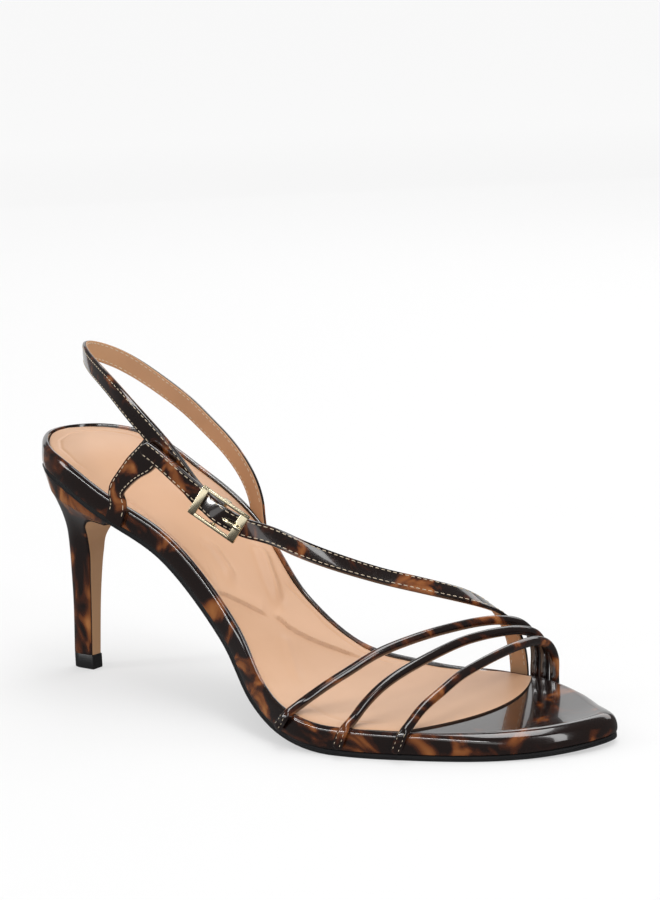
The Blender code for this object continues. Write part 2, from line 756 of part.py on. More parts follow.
def make_buckle_prong(material, parent):
    """Prong with its own eye round the centre bar and its tip on the front bar."""
    rest = FRAME_LIFT + FRAME_THICK / 2.0 + GAP + PRONG_RADIUS
    places = [(0.0011, 0.0006), (0.0018, 0.0019), (0.0027, 0.0030), (0.0042, 0.0034),
              (0.0062, rest), (BUCKLE_LENGTH / 2.0 - 0.0007, rest)]
    path = [(buckle_place(u, 0.0, w), buckle_frame_axes()[3], PRONG_RADIUS) for u, w in places]
    sides = 8

    def round_section(width):
        return [(width * math.cos(2.0 * math.pi * k / sides), width * math.sin(2.0 * math.pi * k / sides))
                for k in range(sides)]

    prong = sweep("buckle_prong", smooth_path(path, 14), round_section, material, parent)
    ring = buckle_prism("ring_tool", circle(BAR_RADIUS + GAP + 0.0005, 12), -PRONG_RADIUS, PRONG_RADIUS,
                        material, parent)
    combine(prong, ring, "UNION")
    bore = buckle_prism("prong_bore", circle(BAR_RADIUS + GAP, 12), -0.003, 0.003, material, parent)
    combine(prong, bore, "DIFFERENCE")
    return prong


def centre_on_floor(anchor, pieces):
    """Moves the anchor so that the origin is under the middle of the whole shoe."""
    corners = np.array([tuple(vertex.co) for piece in pieces for vertex in piece.data.vertices])
    middle = (corners.min(axis=0) + corners.max(axis=0)) / 2.0
    anchor.location = (-middle[0], -middle[1], 0.0)


def build():
    for item in list(bpy.data.objects):
        bpy.data.objects.remove(item, do_unlink=True)
    anchor = bpy.data.objects.new("shoe_anchor", None)
    bpy.context.scene.collection.objects.link(anchor)

    black = make_material("black_sole", (0.012, 0.011, 0.011), 0.45)
    patent = make_material("tortoise_patent", (0.075, 0.022, 0.008), 0.08)
    nude = make_material("nude_sock", (0.62, 0.36, 0.24), 0.55)
    tan = make_material("tan_cover", (0.42, 0.22, 0.11), 0.5)
    gold = make_material("pale_gold", (0.80, 0.66, 0.38), 0.22, 1.0)

    pieces = [
        make_outsole(black, anchor),
        make_platform(patent, anchor),
        make_insole(nude, anchor),
        make_heel(patent, anchor),
        make_heel_breast(tan, anchor),
        make_heel_cap(black, anchor),
        make_instep_strap(patent, anchor),
        make_heel_sling(patent, anchor),
        make_buckle_frame(gold, anchor),
        make_buckle_prong(gold, anchor),
    ]
    pieces += [make_toe_strap(name, patent, anchor) for name in TOE_STRAPS]
    centre_on_floor(anchor, pieces)


build()
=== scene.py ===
"""Looks of the right heeled sandal: patent straps with linings and stitches, sock, heel and buckle."""
import math

import bmesh
import bpy
import numpy as np
from mathutils import Matrix, Vector


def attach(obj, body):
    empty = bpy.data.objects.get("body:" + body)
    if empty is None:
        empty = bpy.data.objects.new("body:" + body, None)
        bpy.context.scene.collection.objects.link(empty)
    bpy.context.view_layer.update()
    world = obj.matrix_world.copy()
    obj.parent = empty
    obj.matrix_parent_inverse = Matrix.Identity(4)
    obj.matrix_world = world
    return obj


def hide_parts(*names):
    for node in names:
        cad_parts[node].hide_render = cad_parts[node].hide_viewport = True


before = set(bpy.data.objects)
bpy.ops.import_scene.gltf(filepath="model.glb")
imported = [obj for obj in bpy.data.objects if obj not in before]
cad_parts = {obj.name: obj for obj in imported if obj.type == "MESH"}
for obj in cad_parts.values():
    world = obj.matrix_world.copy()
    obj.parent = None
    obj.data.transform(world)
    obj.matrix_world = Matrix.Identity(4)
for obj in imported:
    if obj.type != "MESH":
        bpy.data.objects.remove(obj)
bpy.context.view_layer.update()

# Sizes shared with the solids, in metres
SOCK_LENGTH = 0.2243
BALL_WIDTH = 0.0777
SEAT_HEIGHT = 0.0755
GAP = 0.0003
RIM = 0.0022
OUTSOLE_THICK = 0.0019
OUTSOLE_INSET = 0.0004
PLATFORM_THICK = 0.0072
INSOLE_THICK = 0.0010
SHOULDER = 0.0016
PAD_RISE = 0.0005
SOCK_INSET = 0.0002
SOCK_FRONT = 0.0112
RIM_INSIDE = 0.0002
CAP_HEIGHT = 0.0050
COVER_THICK = 0.0006
COVER_MARGIN = 0.0004
STRAP_WIDTH = 0.0068
STRAP_THICK = 0.0015
TUBE_RADIUS = 0.0016
WALL_FOOT = 0.0006
BUCKLE_LENGTH = 0.0186
BUCKLE_WIDTH = 0.0108
RAIL_WIDTH = 0.0013
BACK_BAR = 0.0026
FRONT_BAR = 0.0030
FRAME_THICK = 0.0012
FRAME_LIFT = 0.0016
BAR_RADIUS = 0.0006
EYE_WALL = 0.0008
PRONG_RADIUS = 0.0005
BUCKLE_HEADING = math.radians(19.0)
BUCKLE_FALL = math.radians(34.0)
BUCKLE_FACING = math.radians(-67.5)
BUCKLE_TILT = math.radians(5.0)
ORIGIN = Vector((0.1120535, -0.0041139, 0.0))

# Fineness of the meshes, and sizes that only the looks need
STATIONS = 110
SOCK_ROWS = 400
SOCK_COLUMNS = 108
SOCK_FIRST_TURN = 0.045
SOCK_LAST_SHARE = 0.79
STITCH_LENGTH = 0.00155
STITCH_SPACE = 0.00052
STITCH_INSET = 0.00085
THREAD_RADIUS = 0.00015
STRAP_CROWN = 0.00018
EDGE_SOFT = 0.00028
TAB_END = 0.0016
TAB_FLAT = 0.0035
TAB_TURN = 0.0040
TAB_STITCHED = 0.0065
BUCKLE_SOFT = 0.00022
LUG_REACH = 0.0013
PRONG_LOOP = 0.00042

# Camera as fitted to the photograph: degrees, and metres from the back of the sock
CAMERA_TURN = math.radians(37.74)
CAMERA_RISE = math.radians(11.05)
CAMERA_ROLL = math.radians(-2.63)
CAMERA_DISTANCE = 0.9987
CAMERA_AIM = Vector((0.10509, 0.02431, 0.08140))
CAMERA_LENS = 118.01


def table(names, *rows):
    return {name: np.array(column, float) for name, column in zip(names.split(), zip(*rows))}


OUTLINE = table(
    "along lateral medial",
    (0.00, -0.05, 0.05), (0.03, 0.12, 0.225), (0.09, 0.290, 0.307), (0.18, 0.297, 0.339),
    (0.30, 0.262, 0.283), (0.42, 0.298, 0.194), (0.52, 0.462, 0.225), (0.62, 0.574, 0.351),
    (0.71, 0.556, 0.440), (0.80, 0.472, 0.443), (0.89, 0.344, 0.352), (0.96, 0.170, 0.212),
    (1.00, -0.094, 0.094),
)
UNDERSIDE = table(
    "along rise",
    (-0.02, 1.000), (0.00, 0.998), (0.09, 0.960), (0.184, 0.821), (0.30, 0.640), (0.416, 0.330),
    (0.523, 0.1115), (0.614, 0.029), (0.69, 0.0), (0.87, 0.0), (0.94, 0.003), (1.02, 0.024),
)
PLATFORM = table(
    "along rim bed",
    (0.00, 1.000, 0.720), (0.60, 1.000, 0.720), (0.70, 0.985, 0.800), (0.77, 0.940, 0.895),
    (0.84, 0.915, 0.910), (1.00, 0.915, 0.910),
)
CAP_TOP = (CAP_HEIGHT + GAP) / SEAT_HEIGHT
HEEL = table(
    "back front half middle rise_back rise_front",
    (0.0309, 0.0724, 0.0330, -0.025, CAP_TOP, CAP_TOP),
    (0.0347, 0.0777, 0.0364, -0.024, 0.30, 0.30),
    (0.0349, 0.0814, 0.0433, -0.022, 0.45, 0.45),
    (0.0340, 0.0848, 0.0517, -0.019, 0.57, 0.56),
    (0.0325, 0.0871, 0.0710, -0.015, 0.665, 0.645),
    (0.0315, 0.0990, 0.1250, -0.008, 0.760, 0.715),
    (0.0282, 0.1330, 0.2050, 0.0, 0.855, 0.765),
    (0.0181, 0.1800, 0.2650, 0.004, 0.925, 0.772),
)
HEEL_SEAT = (0.004, 0.222, 0.290, 0.005)
HEEL_SCALES = (SOCK_LENGTH, SOCK_LENGTH, BALL_WIDTH, BALL_WIDTH, SEAT_HEIGHT, SEAT_HEIGHT)
INSTEP_STRAP = table(
    "along side rise facing tilt width",
    (0.490, -0.196, 0.798, -60, 20, 0.88), (0.523, -0.129, 0.737, -56, 27, 0.88),
    (0.557, -0.053, 0.680, -54, 36, 0.87), (0.614, 0.075, 0.600, -50, 48, 0.86),
    (0.660, 0.180, 0.549, -46, 56, 0.93), (0.705, 0.288, 0.496, -35, 66, 1.0),
    (0.727, 0.345, 0.459, -5, 76, 1.0), (0.742, 0.405, 0.408, 60, 66, 1.0),
    (0.751, 0.452, 0.333, 80, 35, 1.0), (0.7555, 0.486, 0.240, 88, 12, 1.0),
)
INSTEP_TAIL = table(
    "along side rise facing tilt width",
    (0.3040, -0.378, 1.184, -90, 2, 0.86), (0.3362, -0.377, 1.131, -89, 3, 0.86),
    (0.364, -0.366, 1.068, -84, 4, 0.86),
)
SLING = table(
    "along side rise facing tilt",
    (0.350, -0.340, 1.132, -87, 5), (0.310, -0.345, 1.244, -92, 4), (0.271, -0.335, 1.332, -98, 3),
    (0.226, -0.288, 1.404, -112, 2), (0.174, -0.205, 1.450, -122, 0), (0.122, -0.105, 1.480, -128, 0),
    (0.080, 0.000, 1.500, -142, 0), (0.058, 0.095, 1.495, -168, 0), (0.053, 0.190, 1.468, 172, 0),
    (0.063, 0.265, 1.432, 142, 0), (0.088, 0.316, 1.378, 112, 0), (0.126, 0.338, 1.310, 98, 0),
    (0.185, 0.345, 1.210, 91, 0), (0.223, 0.338, 1.130, 87, 0), (0.264, 0.327, 1.048, 84, 0),
    (0.304, 0.314, 0.928, 80, 0), (0.321, 0.306, 0.840, 80, 0),
)
UPRIGHT = table(
    "along side rise facing tilt width",
    (0.318, -0.343, 1.185, -90, 3, 1.30), (0.300, -0.345, 1.125, -90, 3, 1.45),
    (0.278, -0.346, 1.082, -90, 3, 1.25), (0.254, -0.345, 1.020, -90, 2, 1.00),
    (0.234, -0.340, 0.955, -90, 0, 0.92),
)
SLING_FOOT = 0.3005
UPRIGHT_FOOT = 0.2150
INSTEP_FOOT = 0.7574

# Each toe strap: shares of the length where its outer end lies on the wall, its inner foot, and its rows
TOE_STRAPS = {
    "toe_strap_rear": ((0.594, 0.602, 0.6095), 0.7814, table(
        "along side rise",
        (0.6177, -0.523, 0.176), (0.6287, -0.456, 0.213), (0.6404, -0.385, 0.249), (0.6507, -0.323, 0.277),
        (0.673, -0.188, 0.337), (0.703, -0.007, 0.377), (0.725, 0.123, 0.392), (0.747, 0.254, 0.397),
        (0.762, 0.345, 0.388), (0.774, 0.435, 0.358), (0.781, 0.488, 0.300), (0.783, 0.510, 0.220),
    )),
    "toe_strap_middle": ((0.698, 0.7035, 0.7085), 0.7985, table(
        "along side rise",
        (0.7125, -0.5285, 0.148), (0.7165, -0.472, 0.194), (0.7236, -0.394, 0.246), (0.7318, -0.317, 0.283),
        (0.746, -0.184, 0.325), (0.765, 0.028, 0.366), (0.775, 0.135, 0.372), (0.784, 0.245, 0.367),
        (0.7925, 0.358, 0.351), (0.7985, 0.457, 0.308), (0.801, 0.503, 0.225),
    )),
    "toe_strap_front": ((0.779, 0.785, 0.7895), 0.8166, table(
        "along side rise",
        (0.7967, -0.4696, 0.149), (0.7994, -0.401, 0.195), (0.8025, -0.350, 0.219), (0.806, -0.291, 0.242),
        (0.809, -0.162, 0.282), (0.813, -0.031, 0.304), (0.816, 0.101, 0.317), (0.819, 0.234, 0.323),
        (0.8205, 0.369, 0.311), (0.821, 0.446, 0.273), (0.821, 0.488, 0.205),
    )),
}

# Moulded lines of the sock, as points in shares of its length and of the ball's width. A crease is a step:
# its rise in metres, then how far the rise takes to fade and how wide the step is, in millimetres.
# A ridge or groove has its height or depth in metres and its width in millimetres.
CREASES = (
    (((0.372, -0.262), (0.380, -0.226), (0.402, -0.160), (0.427, -0.106)), 0.0008, 9.0, 0.45),
    (((0.424, -0.075), (0.436, -0.063), (0.452, -0.055), (0.477, -0.007), (0.508, 0.066), (0.556, 0.150)),
     0.0009, 13.0, 0.45),
)
RIDGES = (
    (((0.300, -0.120), (0.326, -0.104), (0.352, -0.120), (0.378, -0.190)), 0.0011, 1.9),
    (((0.330, 0.160), (0.348, 0.139), (0.386, 0.064), (0.433, -0.035)), 0.0021, 2.3),
    (((0.455, -0.105), (0.468, -0.143), (0.505, -0.226), (0.555, -0.335)), 0.0006, 1.8),
)
GROOVES = (
    (((0.180, -0.232), (0.211, -0.232), (0.251, -0.240), (0.289, -0.245), (0.336, -0.241), (0.370, -0.246)),
     0.00045, 0.55),
    (((0.385, 0.150), (0.420, 0.152), (0.470, 0.150), (0.530, 0.176), (0.600, 0.225)), 0.00025, 0.7),
    (((0.593, -0.430), (0.640, -0.470), (0.690, -0.480), (0.750, -0.440)), 0.00022, 0.8),
    (((0.150, -0.245), (0.110, -0.240), (0.072, -0.190), (0.046, -0.104), (0.034, 0.0), (0.036, 0.080),
      (0.052, 0.160), (0.085, 0.225), (0.130, 0.262), (0.180, 0.270)), 0.00022, 0.55),
)


def slopes(xs, ys, level):
    """Tangents for a smooth curve through points. A level curve never swings past them."""
    steps = np.diff(xs)
    chords = np.diff(ys) / steps
    inner = (chords[:-1] * steps[1:] + chords[1:] * steps[:-1]) / (steps[:-1] + steps[1:])
    if level:
        limit = 2.0 * np.minimum(np.abs(chords[:-1]), np.abs(chords[1:]))
        turning = chords[:-1] * chords[1:] <= 0.0
        inner = np.where(turning, 0.0, np.clip(inner, -limit, limit))
    return np.concatenate([[chords[0]], inner, [chords[-1]]])


def smooth(x, xs, ys, level=False):
    """Value at x of the smooth curve through points, straight on beyond its ends."""
    tangents = slopes(xs, ys, level)
    k = int(np.clip(np.searchsorted(xs, x) - 1, 0, len(xs) - 2))
    span = xs[k + 1] - xs[k]
    t = (x - xs[k]) / span
    if t < 0.0 or t > 1.0:
        end = k + int(t > 1.0)
        return float(ys[end] + tangents[end] * (x - xs[end]))
    rise = ys[k] * (1 + 2 * t) * (1 - t) ** 2 + ys[k + 1] * t * t * (3 - 2 * t)
    return float(rise + span * (tangents[k] * t * (1 - t) ** 2 + tangents[k + 1] * t * t * (t - 1)))


def ease(value):
    """Soft step from 0 to 1."""
    value = min(max(value, 0.0), 1.0)
    return value * value * (3.0 - 2.0 * value)


def turn_of(share):
    """Half turn round the outline, 0 at the heel and 1 at the toe, for a share of the length."""
    return math.acos(1.0 - 2.0 * min(max(share, 0.0), 1.0)) / math.pi


OUTLINE_TURNS = np.array([turn_of(value) for value in OUTLINE["along"]])


def raw_outline(turn):
    turn = turn % 2.0
    lateral = turn <= 1.0
    half_turn = turn if lateral else 2.0 - turn
    share = (1.0 - math.cos(math.pi * half_turn)) / 2.0
    side = smooth(half_turn, OUTLINE_TURNS, OUTLINE["lateral" if lateral else "medial"])
    return np.array([share * SOCK_LENGTH, side * BALL_WIDTH * (-1.0 if lateral else 1.0)])


def rounded_outline():
    """Closed outline of the sock, with the toe's tip and the heel rounded off."""
    count, spread = 720, 12
    toe_push, heel_push = 0.0006, 0.0004
    turns = 2.0 * np.arange(count) / count
    raw = np.array([raw_outline(turn) for turn in turns])
    shifts = np.arange(-3 * spread, 3 * spread + 1)
    weights = np.exp(-0.5 * (shifts / spread) ** 2)
    weights /= weights.sum()
    soft = sum(weight * np.roll(raw, -shift, axis=0) for weight, shift in zip(weights, shifts))
    toe = np.array([ease((0.20 - abs(turn - 1.0)) / 0.12) for turn in turns])
    heel = np.array([ease((abs(turn - 1.0) - 0.62) / 0.12) for turn in turns])
    points = raw + (soft - raw) * (toe + heel)[:, None]
    points[:, 0] += toe_push * toe - heel_push * heel
    return np.append(turns, 2.0), np.vstack([points, points[:1]])


OUTLINE_PLACES, OUTLINE_POINTS = rounded_outline()


def outline_point(turn):
    turn = turn % 2.0
    return np.array([np.interp(turn, OUTLINE_PLACES, OUTLINE_POINTS[:, column]) for column in (0, 1)])


def edge_point(turn, out):
    """Point of the outline, moved outwards in plan."""
    step = 0.012
    along = outline_point(turn + step) - outline_point(turn - step)
    along /= np.linalg.norm(along)
    return outline_point(turn) + out * np.array([along[1], -along[0]])


def underside(x):
    return smooth(x / SOCK_LENGTH, UNDERSIDE["along"], UNDERSIDE["rise"], level=True) * SEAT_HEIGHT


def above_underside(x, y, height):
    """Point at a height above the underside, square to its slope."""
    step = 0.002
    fall = math.atan2(underside(x - step) - underside(x + step), 2.0 * step)
    return Vector((x + height * math.sin(fall), y, underside(x) + height * math.cos(fall)))


def wall_point(share, side, out, height):
    """Point beside the platform's wall. side is -1 for lateral and 1 for medial."""
    turn = turn_of(share) if side < 0 else 2.0 - turn_of(share)
    x, y = edge_point(turn, out)
    return above_underside(x, y, height)


def wall_normal(share, side):
    turn = turn_of(share) if side < 0 else 2.0 - turn_of(share)
    near = edge_point(turn, 0.0)
    far = edge_point(turn, 0.001)
    return Vector((far[0] - near[0], far[1] - near[1], 0.0)).normalized()


def platform_level(share, name):
    """Height of the platform's rim or bed above the underside."""
    part = smooth(share, PLATFORM["along"], PLATFORM[name], level=True)
    return OUTSOLE_THICK + GAP + part * PLATFORM_THICK


def direction(facing, tilt):
    return Vector((math.cos(tilt) * math.cos(facing), math.cos(tilt) * math.sin(facing), math.sin(tilt)))


# Materials
def node(tree, kind, **values):
    """New node with its sockets and settings."""
    item = tree.nodes.new(kind)
    for key, value in values.items():
        if key in item.inputs:
            item.inputs[key].default_value = value
        else:
            setattr(item, key, value)
    return item


def principled(name, **values):
    material = bpy.data.materials.new(name)
    material.use_nodes = True
    shader = material.node_tree.nodes["Principled BSDF"]
    for key, value in values.items():
        shader.inputs[key.replace("_", " ")].default_value = value
    return material, material.node_tree, shader


def noise(tree, scale, detail=3.0, roughness=0.5, distortion=0.0, stretch=(1.0, 1.0, 1.0)):
    """Noise over the object's own coordinates, in patterns per metre."""
    place = node(tree, "ShaderNodeTexCoord")
    mapping = node(tree, "ShaderNodeMapping", Scale=stretch)
    item = node(tree, "ShaderNodeTexNoise", Scale=scale, Detail=detail, Roughness=roughness,
                Distortion=distortion)
    tree.links.new(place.outputs["Object"], mapping.inputs["Vector"])
    tree.links.new(mapping.outputs["Vector"], item.inputs["Vector"])
    return item


def ramp(tree, source, stops):
    """Colour ramp over a texture, from (place, colour) stops."""
    item = node(tree, "ShaderNodeValToRGB")
    colours = item.color_ramp
    while len(colours.elements) < len(stops):
        colours.elements.new(0.5)
    for element, (place, colour) in zip(colours.elements, stops):
        element.position = place
        element.color = (*colour, 1.0)
    tree.links.new(source.outputs[0], item.inputs["Fac"])
    return item


def bump(tree, shader, source, strength, distance):
    """Bump from a texture on the shader's normal."""
    item = node(tree, "ShaderNodeBump", Strength=strength, Distance=distance)
    tree.links.new(source.outputs[0], item.inputs["Height"])
    tree.links.new(item.outputs["Normal"], shader.inputs["Normal"])


def coloured(name, cloud, stops, grain, strength, distance, **settings):
    """Material with colour stops over a cloud noise, and a fine bump from a grain noise."""
    material, tree, shader = principled(name, **settings)
    colours = ramp(tree, noise(tree, **cloud), stops)
    tree.links.new(colours.outputs["Color"], shader.inputs["Base Color"])
    bump(tree, shader, noise(tree, **grain), strength, distance)
    return material


def make_patent(name, scale, stretch=(1.0, 1.0, 1.0), amber=1.0, dark=0.0):
    """Tortoiseshell patent leather: near-black brown with amber blotches under a clear gloss.

    amber scales the blotches' colour, and dark moves the stops so that fewer blotches show.
    """
    cloud = {"scale": scale, "detail": 2.5, "roughness": 0.62, "distortion": 0.7, "stretch": stretch}
    stops = (
        (0.00, (0.006, 0.004, 0.004)),
        (0.49 + dark, (0.010, 0.004, 0.003)),
        (0.55 + dark, (0.060 * amber, 0.014 * amber, 0.004)),
        (0.61 + dark, (0.210 * amber, 0.062 * amber, 0.014)),
        (0.72 + dark, (0.400 * amber, 0.150 * amber, 0.040)),
    )
    return coloured(name, cloud, stops, {"scale": 420.0, "detail": 1.0}, 0.05, 0.0004,
                    Roughness=0.16, Coat_Weight=1.0, Coat_Roughness=0.03, Specular_IOR_Level=0.55)


def make_leather(name, light, dark, roughness, grain=1900.0, depth=0.12):
    """Matt leather with soft clouds of colour and a fine grain."""
    grain = {"scale": grain, "detail": 3.0, "roughness": 0.6}
    return coloured(name, {"scale": 34.0}, ((0.30, dark), (0.70, light)), grain, depth, 0.0002,
                    Roughness=roughness, Specular_IOR_Level=0.35)


def make_plain(name, colour, roughness, metallic=0.0, grain=900.0, depth=0.05):
    """Rubber, paint, thread or metal with slight variation and a fine texture."""
    stops = ((0.30, tuple(0.80 * value for value in colour)), (0.70, colour))
    return coloured(name, {"scale": 130.0, "detail": 4.0}, stops, {"scale": grain, "detail": 2.0},
                    depth, 0.0001, Roughness=roughness, Metallic=metallic)


PATENT = make_patent("tortoise_patent", scale=70.0, dark=0.015)
PATENT_STRAP = make_patent("tortoise_patent_strap", scale=95.0, amber=0.95, dark=0.03)
PATENT_HEEL = make_patent("tortoise_patent_heel", scale=80.0, stretch=(1.0, 1.0, 0.62))
SOCK = make_leather("nude_sock", (0.65, 0.395, 0.245), (0.60, 0.352, 0.210), 0.38)
# Near-black for the sock's side and underside: painted shade along the gap between the sock's edge and the
# rim
SOCK_EDGE_SHADE = make_plain("sock_edge_painted_shade", (0.060, 0.030, 0.016), 0.5)
LINING = make_leather("tan_lining", (0.53, 0.300, 0.160), (0.46, 0.250, 0.128), 0.52, grain=1500.0)
COVER = make_leather("tan_cover", (0.47, 0.265, 0.135), (0.42, 0.225, 0.110), 0.45, grain=1200.0)
EDGE_PAINT = make_plain("edge_paint", (0.020, 0.010, 0.008), 0.35)
BLACK = make_plain("black_sole", (0.012, 0.012, 0.013), 0.38, grain=1600.0, depth=0.12)
THREAD = make_plain("cream_thread", (0.70, 0.58, 0.42), 0.6, grain=4000.0, depth=0.3)
GOLD = make_plain("pale_gold", (0.83, 0.735, 0.515), 0.20, metallic=1.0, grain=2500.0, depth=0.03)


# Mesh helpers
def add_object(name, points, faces, materials, indices=None, sharp=38.0):
    """Mesh object in the shared frame, smooth but for edges sharper than sharp, in degrees."""
    mesh = bpy.data.meshes.new(name)
    mesh.from_pydata([tuple(Vector(point) - ORIGIN) for point in points], [], faces)
    for material in materials:
        mesh.materials.append(material)
    if indices is not None:
        mesh.polygons.foreach_set("material_index", indices)
    shape = bmesh.new()
    shape.from_mesh(mesh)
    bmesh.ops.recalc_face_normals(shape, faces=shape.faces)
    shape.to_mesh(mesh)
    shape.free()
    mesh.shade_smooth()
    mesh.set_sharp_from_angle(angle=math.radians(sharp))
    piece = bpy.data.objects.new(name, mesh)
    bpy.context.scene.collection.objects.link(piece)
    return piece


def ring_faces(count, rings):
    """Side faces of a tube of rings with count points each."""
    faces = []
    for ring in range(rings - 1):
        for k in range(count):
            here = ring * count + k
            beside = ring * count + (k + 1) % count
            faces.append((here, beside, beside + count, here + count))
    return faces


def tube_faces(count, rings):
    """Faces of a tube that is closed at both ends."""
    last = (rings - 1) * count
    return ring_faces(count, rings) + [tuple(range(count)), tuple(range(last, last + count))]


def grid_rim(rows, columns):
    """Numbers of the points round the edge of a grid."""
    width = columns + 1
    rim = list(range(width)) + [row * width + columns for row in range(1, rows + 1)]
    rim += [rows * width + column for column in range(columns - 1, -1, -1)]
    return rim + [row * width for row in range(rows - 1, 0, -1)]


def heading(centres, k):
    """Direction of a line of points at its point k."""
    return (centres[min(k + 1, len(centres) - 1)] - centres[max(k - 1, 0)]).normalized()


def strip_cap(count, start):
    """Cap of strips across a ring that is mirrored in plan."""
    half = count // 2
    faces = [(start, start + 1, start + count - 1)]
    for k in range(1, half - 1):
        faces.append((start + k, start + k + 1, start + count - k - 1, start + count - k))
    faces.append((start + half - 1, start + half, start + half + 1))
    return faces


def sole_sheet(name, profile_at, materials):
    """Closed sole sheet from its profile, with strips across its underside and top."""
    count = 2 * STATIONS
    rings = []
    for k in range(count):
        turn = k / STATIONS
        share = (1.0 - math.cos(math.pi * turn)) / 2.0
        rings.append([above_underside(*edge_point(turn, out), height) for out, height in profile_at(share)])
    levels = len(rings[0])
    points = [rings[k][level] for level in range(levels) for k in range(count)]
    faces = ring_faces(count, levels) + strip_cap(count, 0) + strip_cap(count, (levels - 1) * count)
    return add_object(name, points, faces, materials)


def finish_piece(piece, slot_name, *replaced):
    """Says what a piece rides on and what it replaces. Its slot_name is not used."""
    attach(piece, "root")
    if replaced:
        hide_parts(*replaced)
    return piece


# Sole
def outsole_profile(_):
    """Edge of the outsole, the same all round, with a fine groove."""
    out = RIM - OUTSOLE_INSET
    return [(out - 0.0004, 0.0), (out - 0.0001, 0.00012), (out, 0.0004), (out, 0.0008),
            (out - 0.00015, 0.00092), (out, 0.00104), (out, OUTSOLE_THICK - 0.0002),
            (out - 0.0002, OUTSOLE_THICK)]


def platform_profile(share):
    """Wall with a slight crown, a shoulder that grows rounder at the toe, the rim and the bed inside it."""
    low = OUTSOLE_THICK + GAP * 0.4
    rim = platform_level(share, "rim")
    bed = platform_level(share, "bed")
    toe = ease((share - 0.80) / 0.16)
    deep = SHOULDER + 0.0024 * toe
    wide = SHOULDER + 0.0030 * toe
    wall = rim - deep - low
    profile = [(RIM - 0.0006, low), (RIM - 0.0002, low + 0.0002), (RIM, low + 0.0007)]
    for part in (0.3, 0.6, 0.85):
        profile.append((RIM + 0.0001 * math.sin(math.pi * part), low + 0.0007 + (wall - 0.0007) * part))
    for degrees in range(0, 91, 10):
        angle = math.radians(degrees)
        profile.append((RIM - wide * (1.0 - math.cos(angle)), rim - deep * (1.0 - math.sin(angle))))
    depth = rim - bed
    inner = ((RIM_INSIDE + 0.00015, rim - 0.06 * depth), (RIM_INSIDE, rim - 0.22 * depth),
             (RIM_INSIDE - 0.0001, bed + 0.05 * depth), (RIM_INSIDE - 0.0008, bed),
             (RIM_INSIDE - 0.0030, bed))
    for number, (out, height) in enumerate(inner):
        profile.append((min(out, RIM - wide - 0.0002 * (number + 1)), height))
    return profile


def polyline_distance(x, y, points):
    """Distance from a plan polyline in millimetres, its side (1 is left), and the share of the way."""
    best = None
    total = len(points) - 1
    for k in range(total):
        ax, ay = points[k][0] * SOCK_LENGTH, points[k][1] * BALL_WIDTH
        bx, by = points[k + 1][0] * SOCK_LENGTH, points[k + 1][1] * BALL_WIDTH
        dx, dy = bx - ax, by - ay
        t = ((x - ax) * dx + (y - ay) * dy) / (dx * dx + dy * dy)
        inside = min(max(t, 0.0), 1.0)
        ex, ey = x - (ax + inside * dx), y - (ay + inside * dy)
        distance = math.hypot(ex, ey) * 1000.0
        side = 1.0 if dx * ey - dy * ex > 0.0 else -1.0
        if best is None or distance < best[0]:
            best = (distance, side, (k + inside) / total)
    return best


def ends(part, soft):
    """Fades a line out towards both its ends."""
    return ease(part / soft) * ease((1.0 - part) / soft)


def sock_relief(x, y):
    """Height of the sock's creases, ridges and grooves at a place in plan."""
    height = 0.0
    for points, rise, fall, sharp in CREASES:
        distance, side, part = polyline_distance(x, y, points)
        signed = distance * side
        up = ease(0.5 + signed / sharp)
        height += rise * up * math.exp(-max(signed, 0.0) / fall) * ends(part, 0.15)
        height -= 0.22 * rise * math.exp(-((signed + 0.15) / 0.35) ** 2) * ends(part, 0.15)
    for points, rise, width in RIDGES:
        distance, _, part = polyline_distance(x, y, points)
        height += rise * math.exp(-(distance / width) ** 2) * ends(part, 0.35)
    for points, depth, width in GROOVES:
        distance, _, part = polyline_distance(x, y, points)
        height -= depth * math.exp(-(distance / width) ** 2) * ends(part, 0.12)
    return height


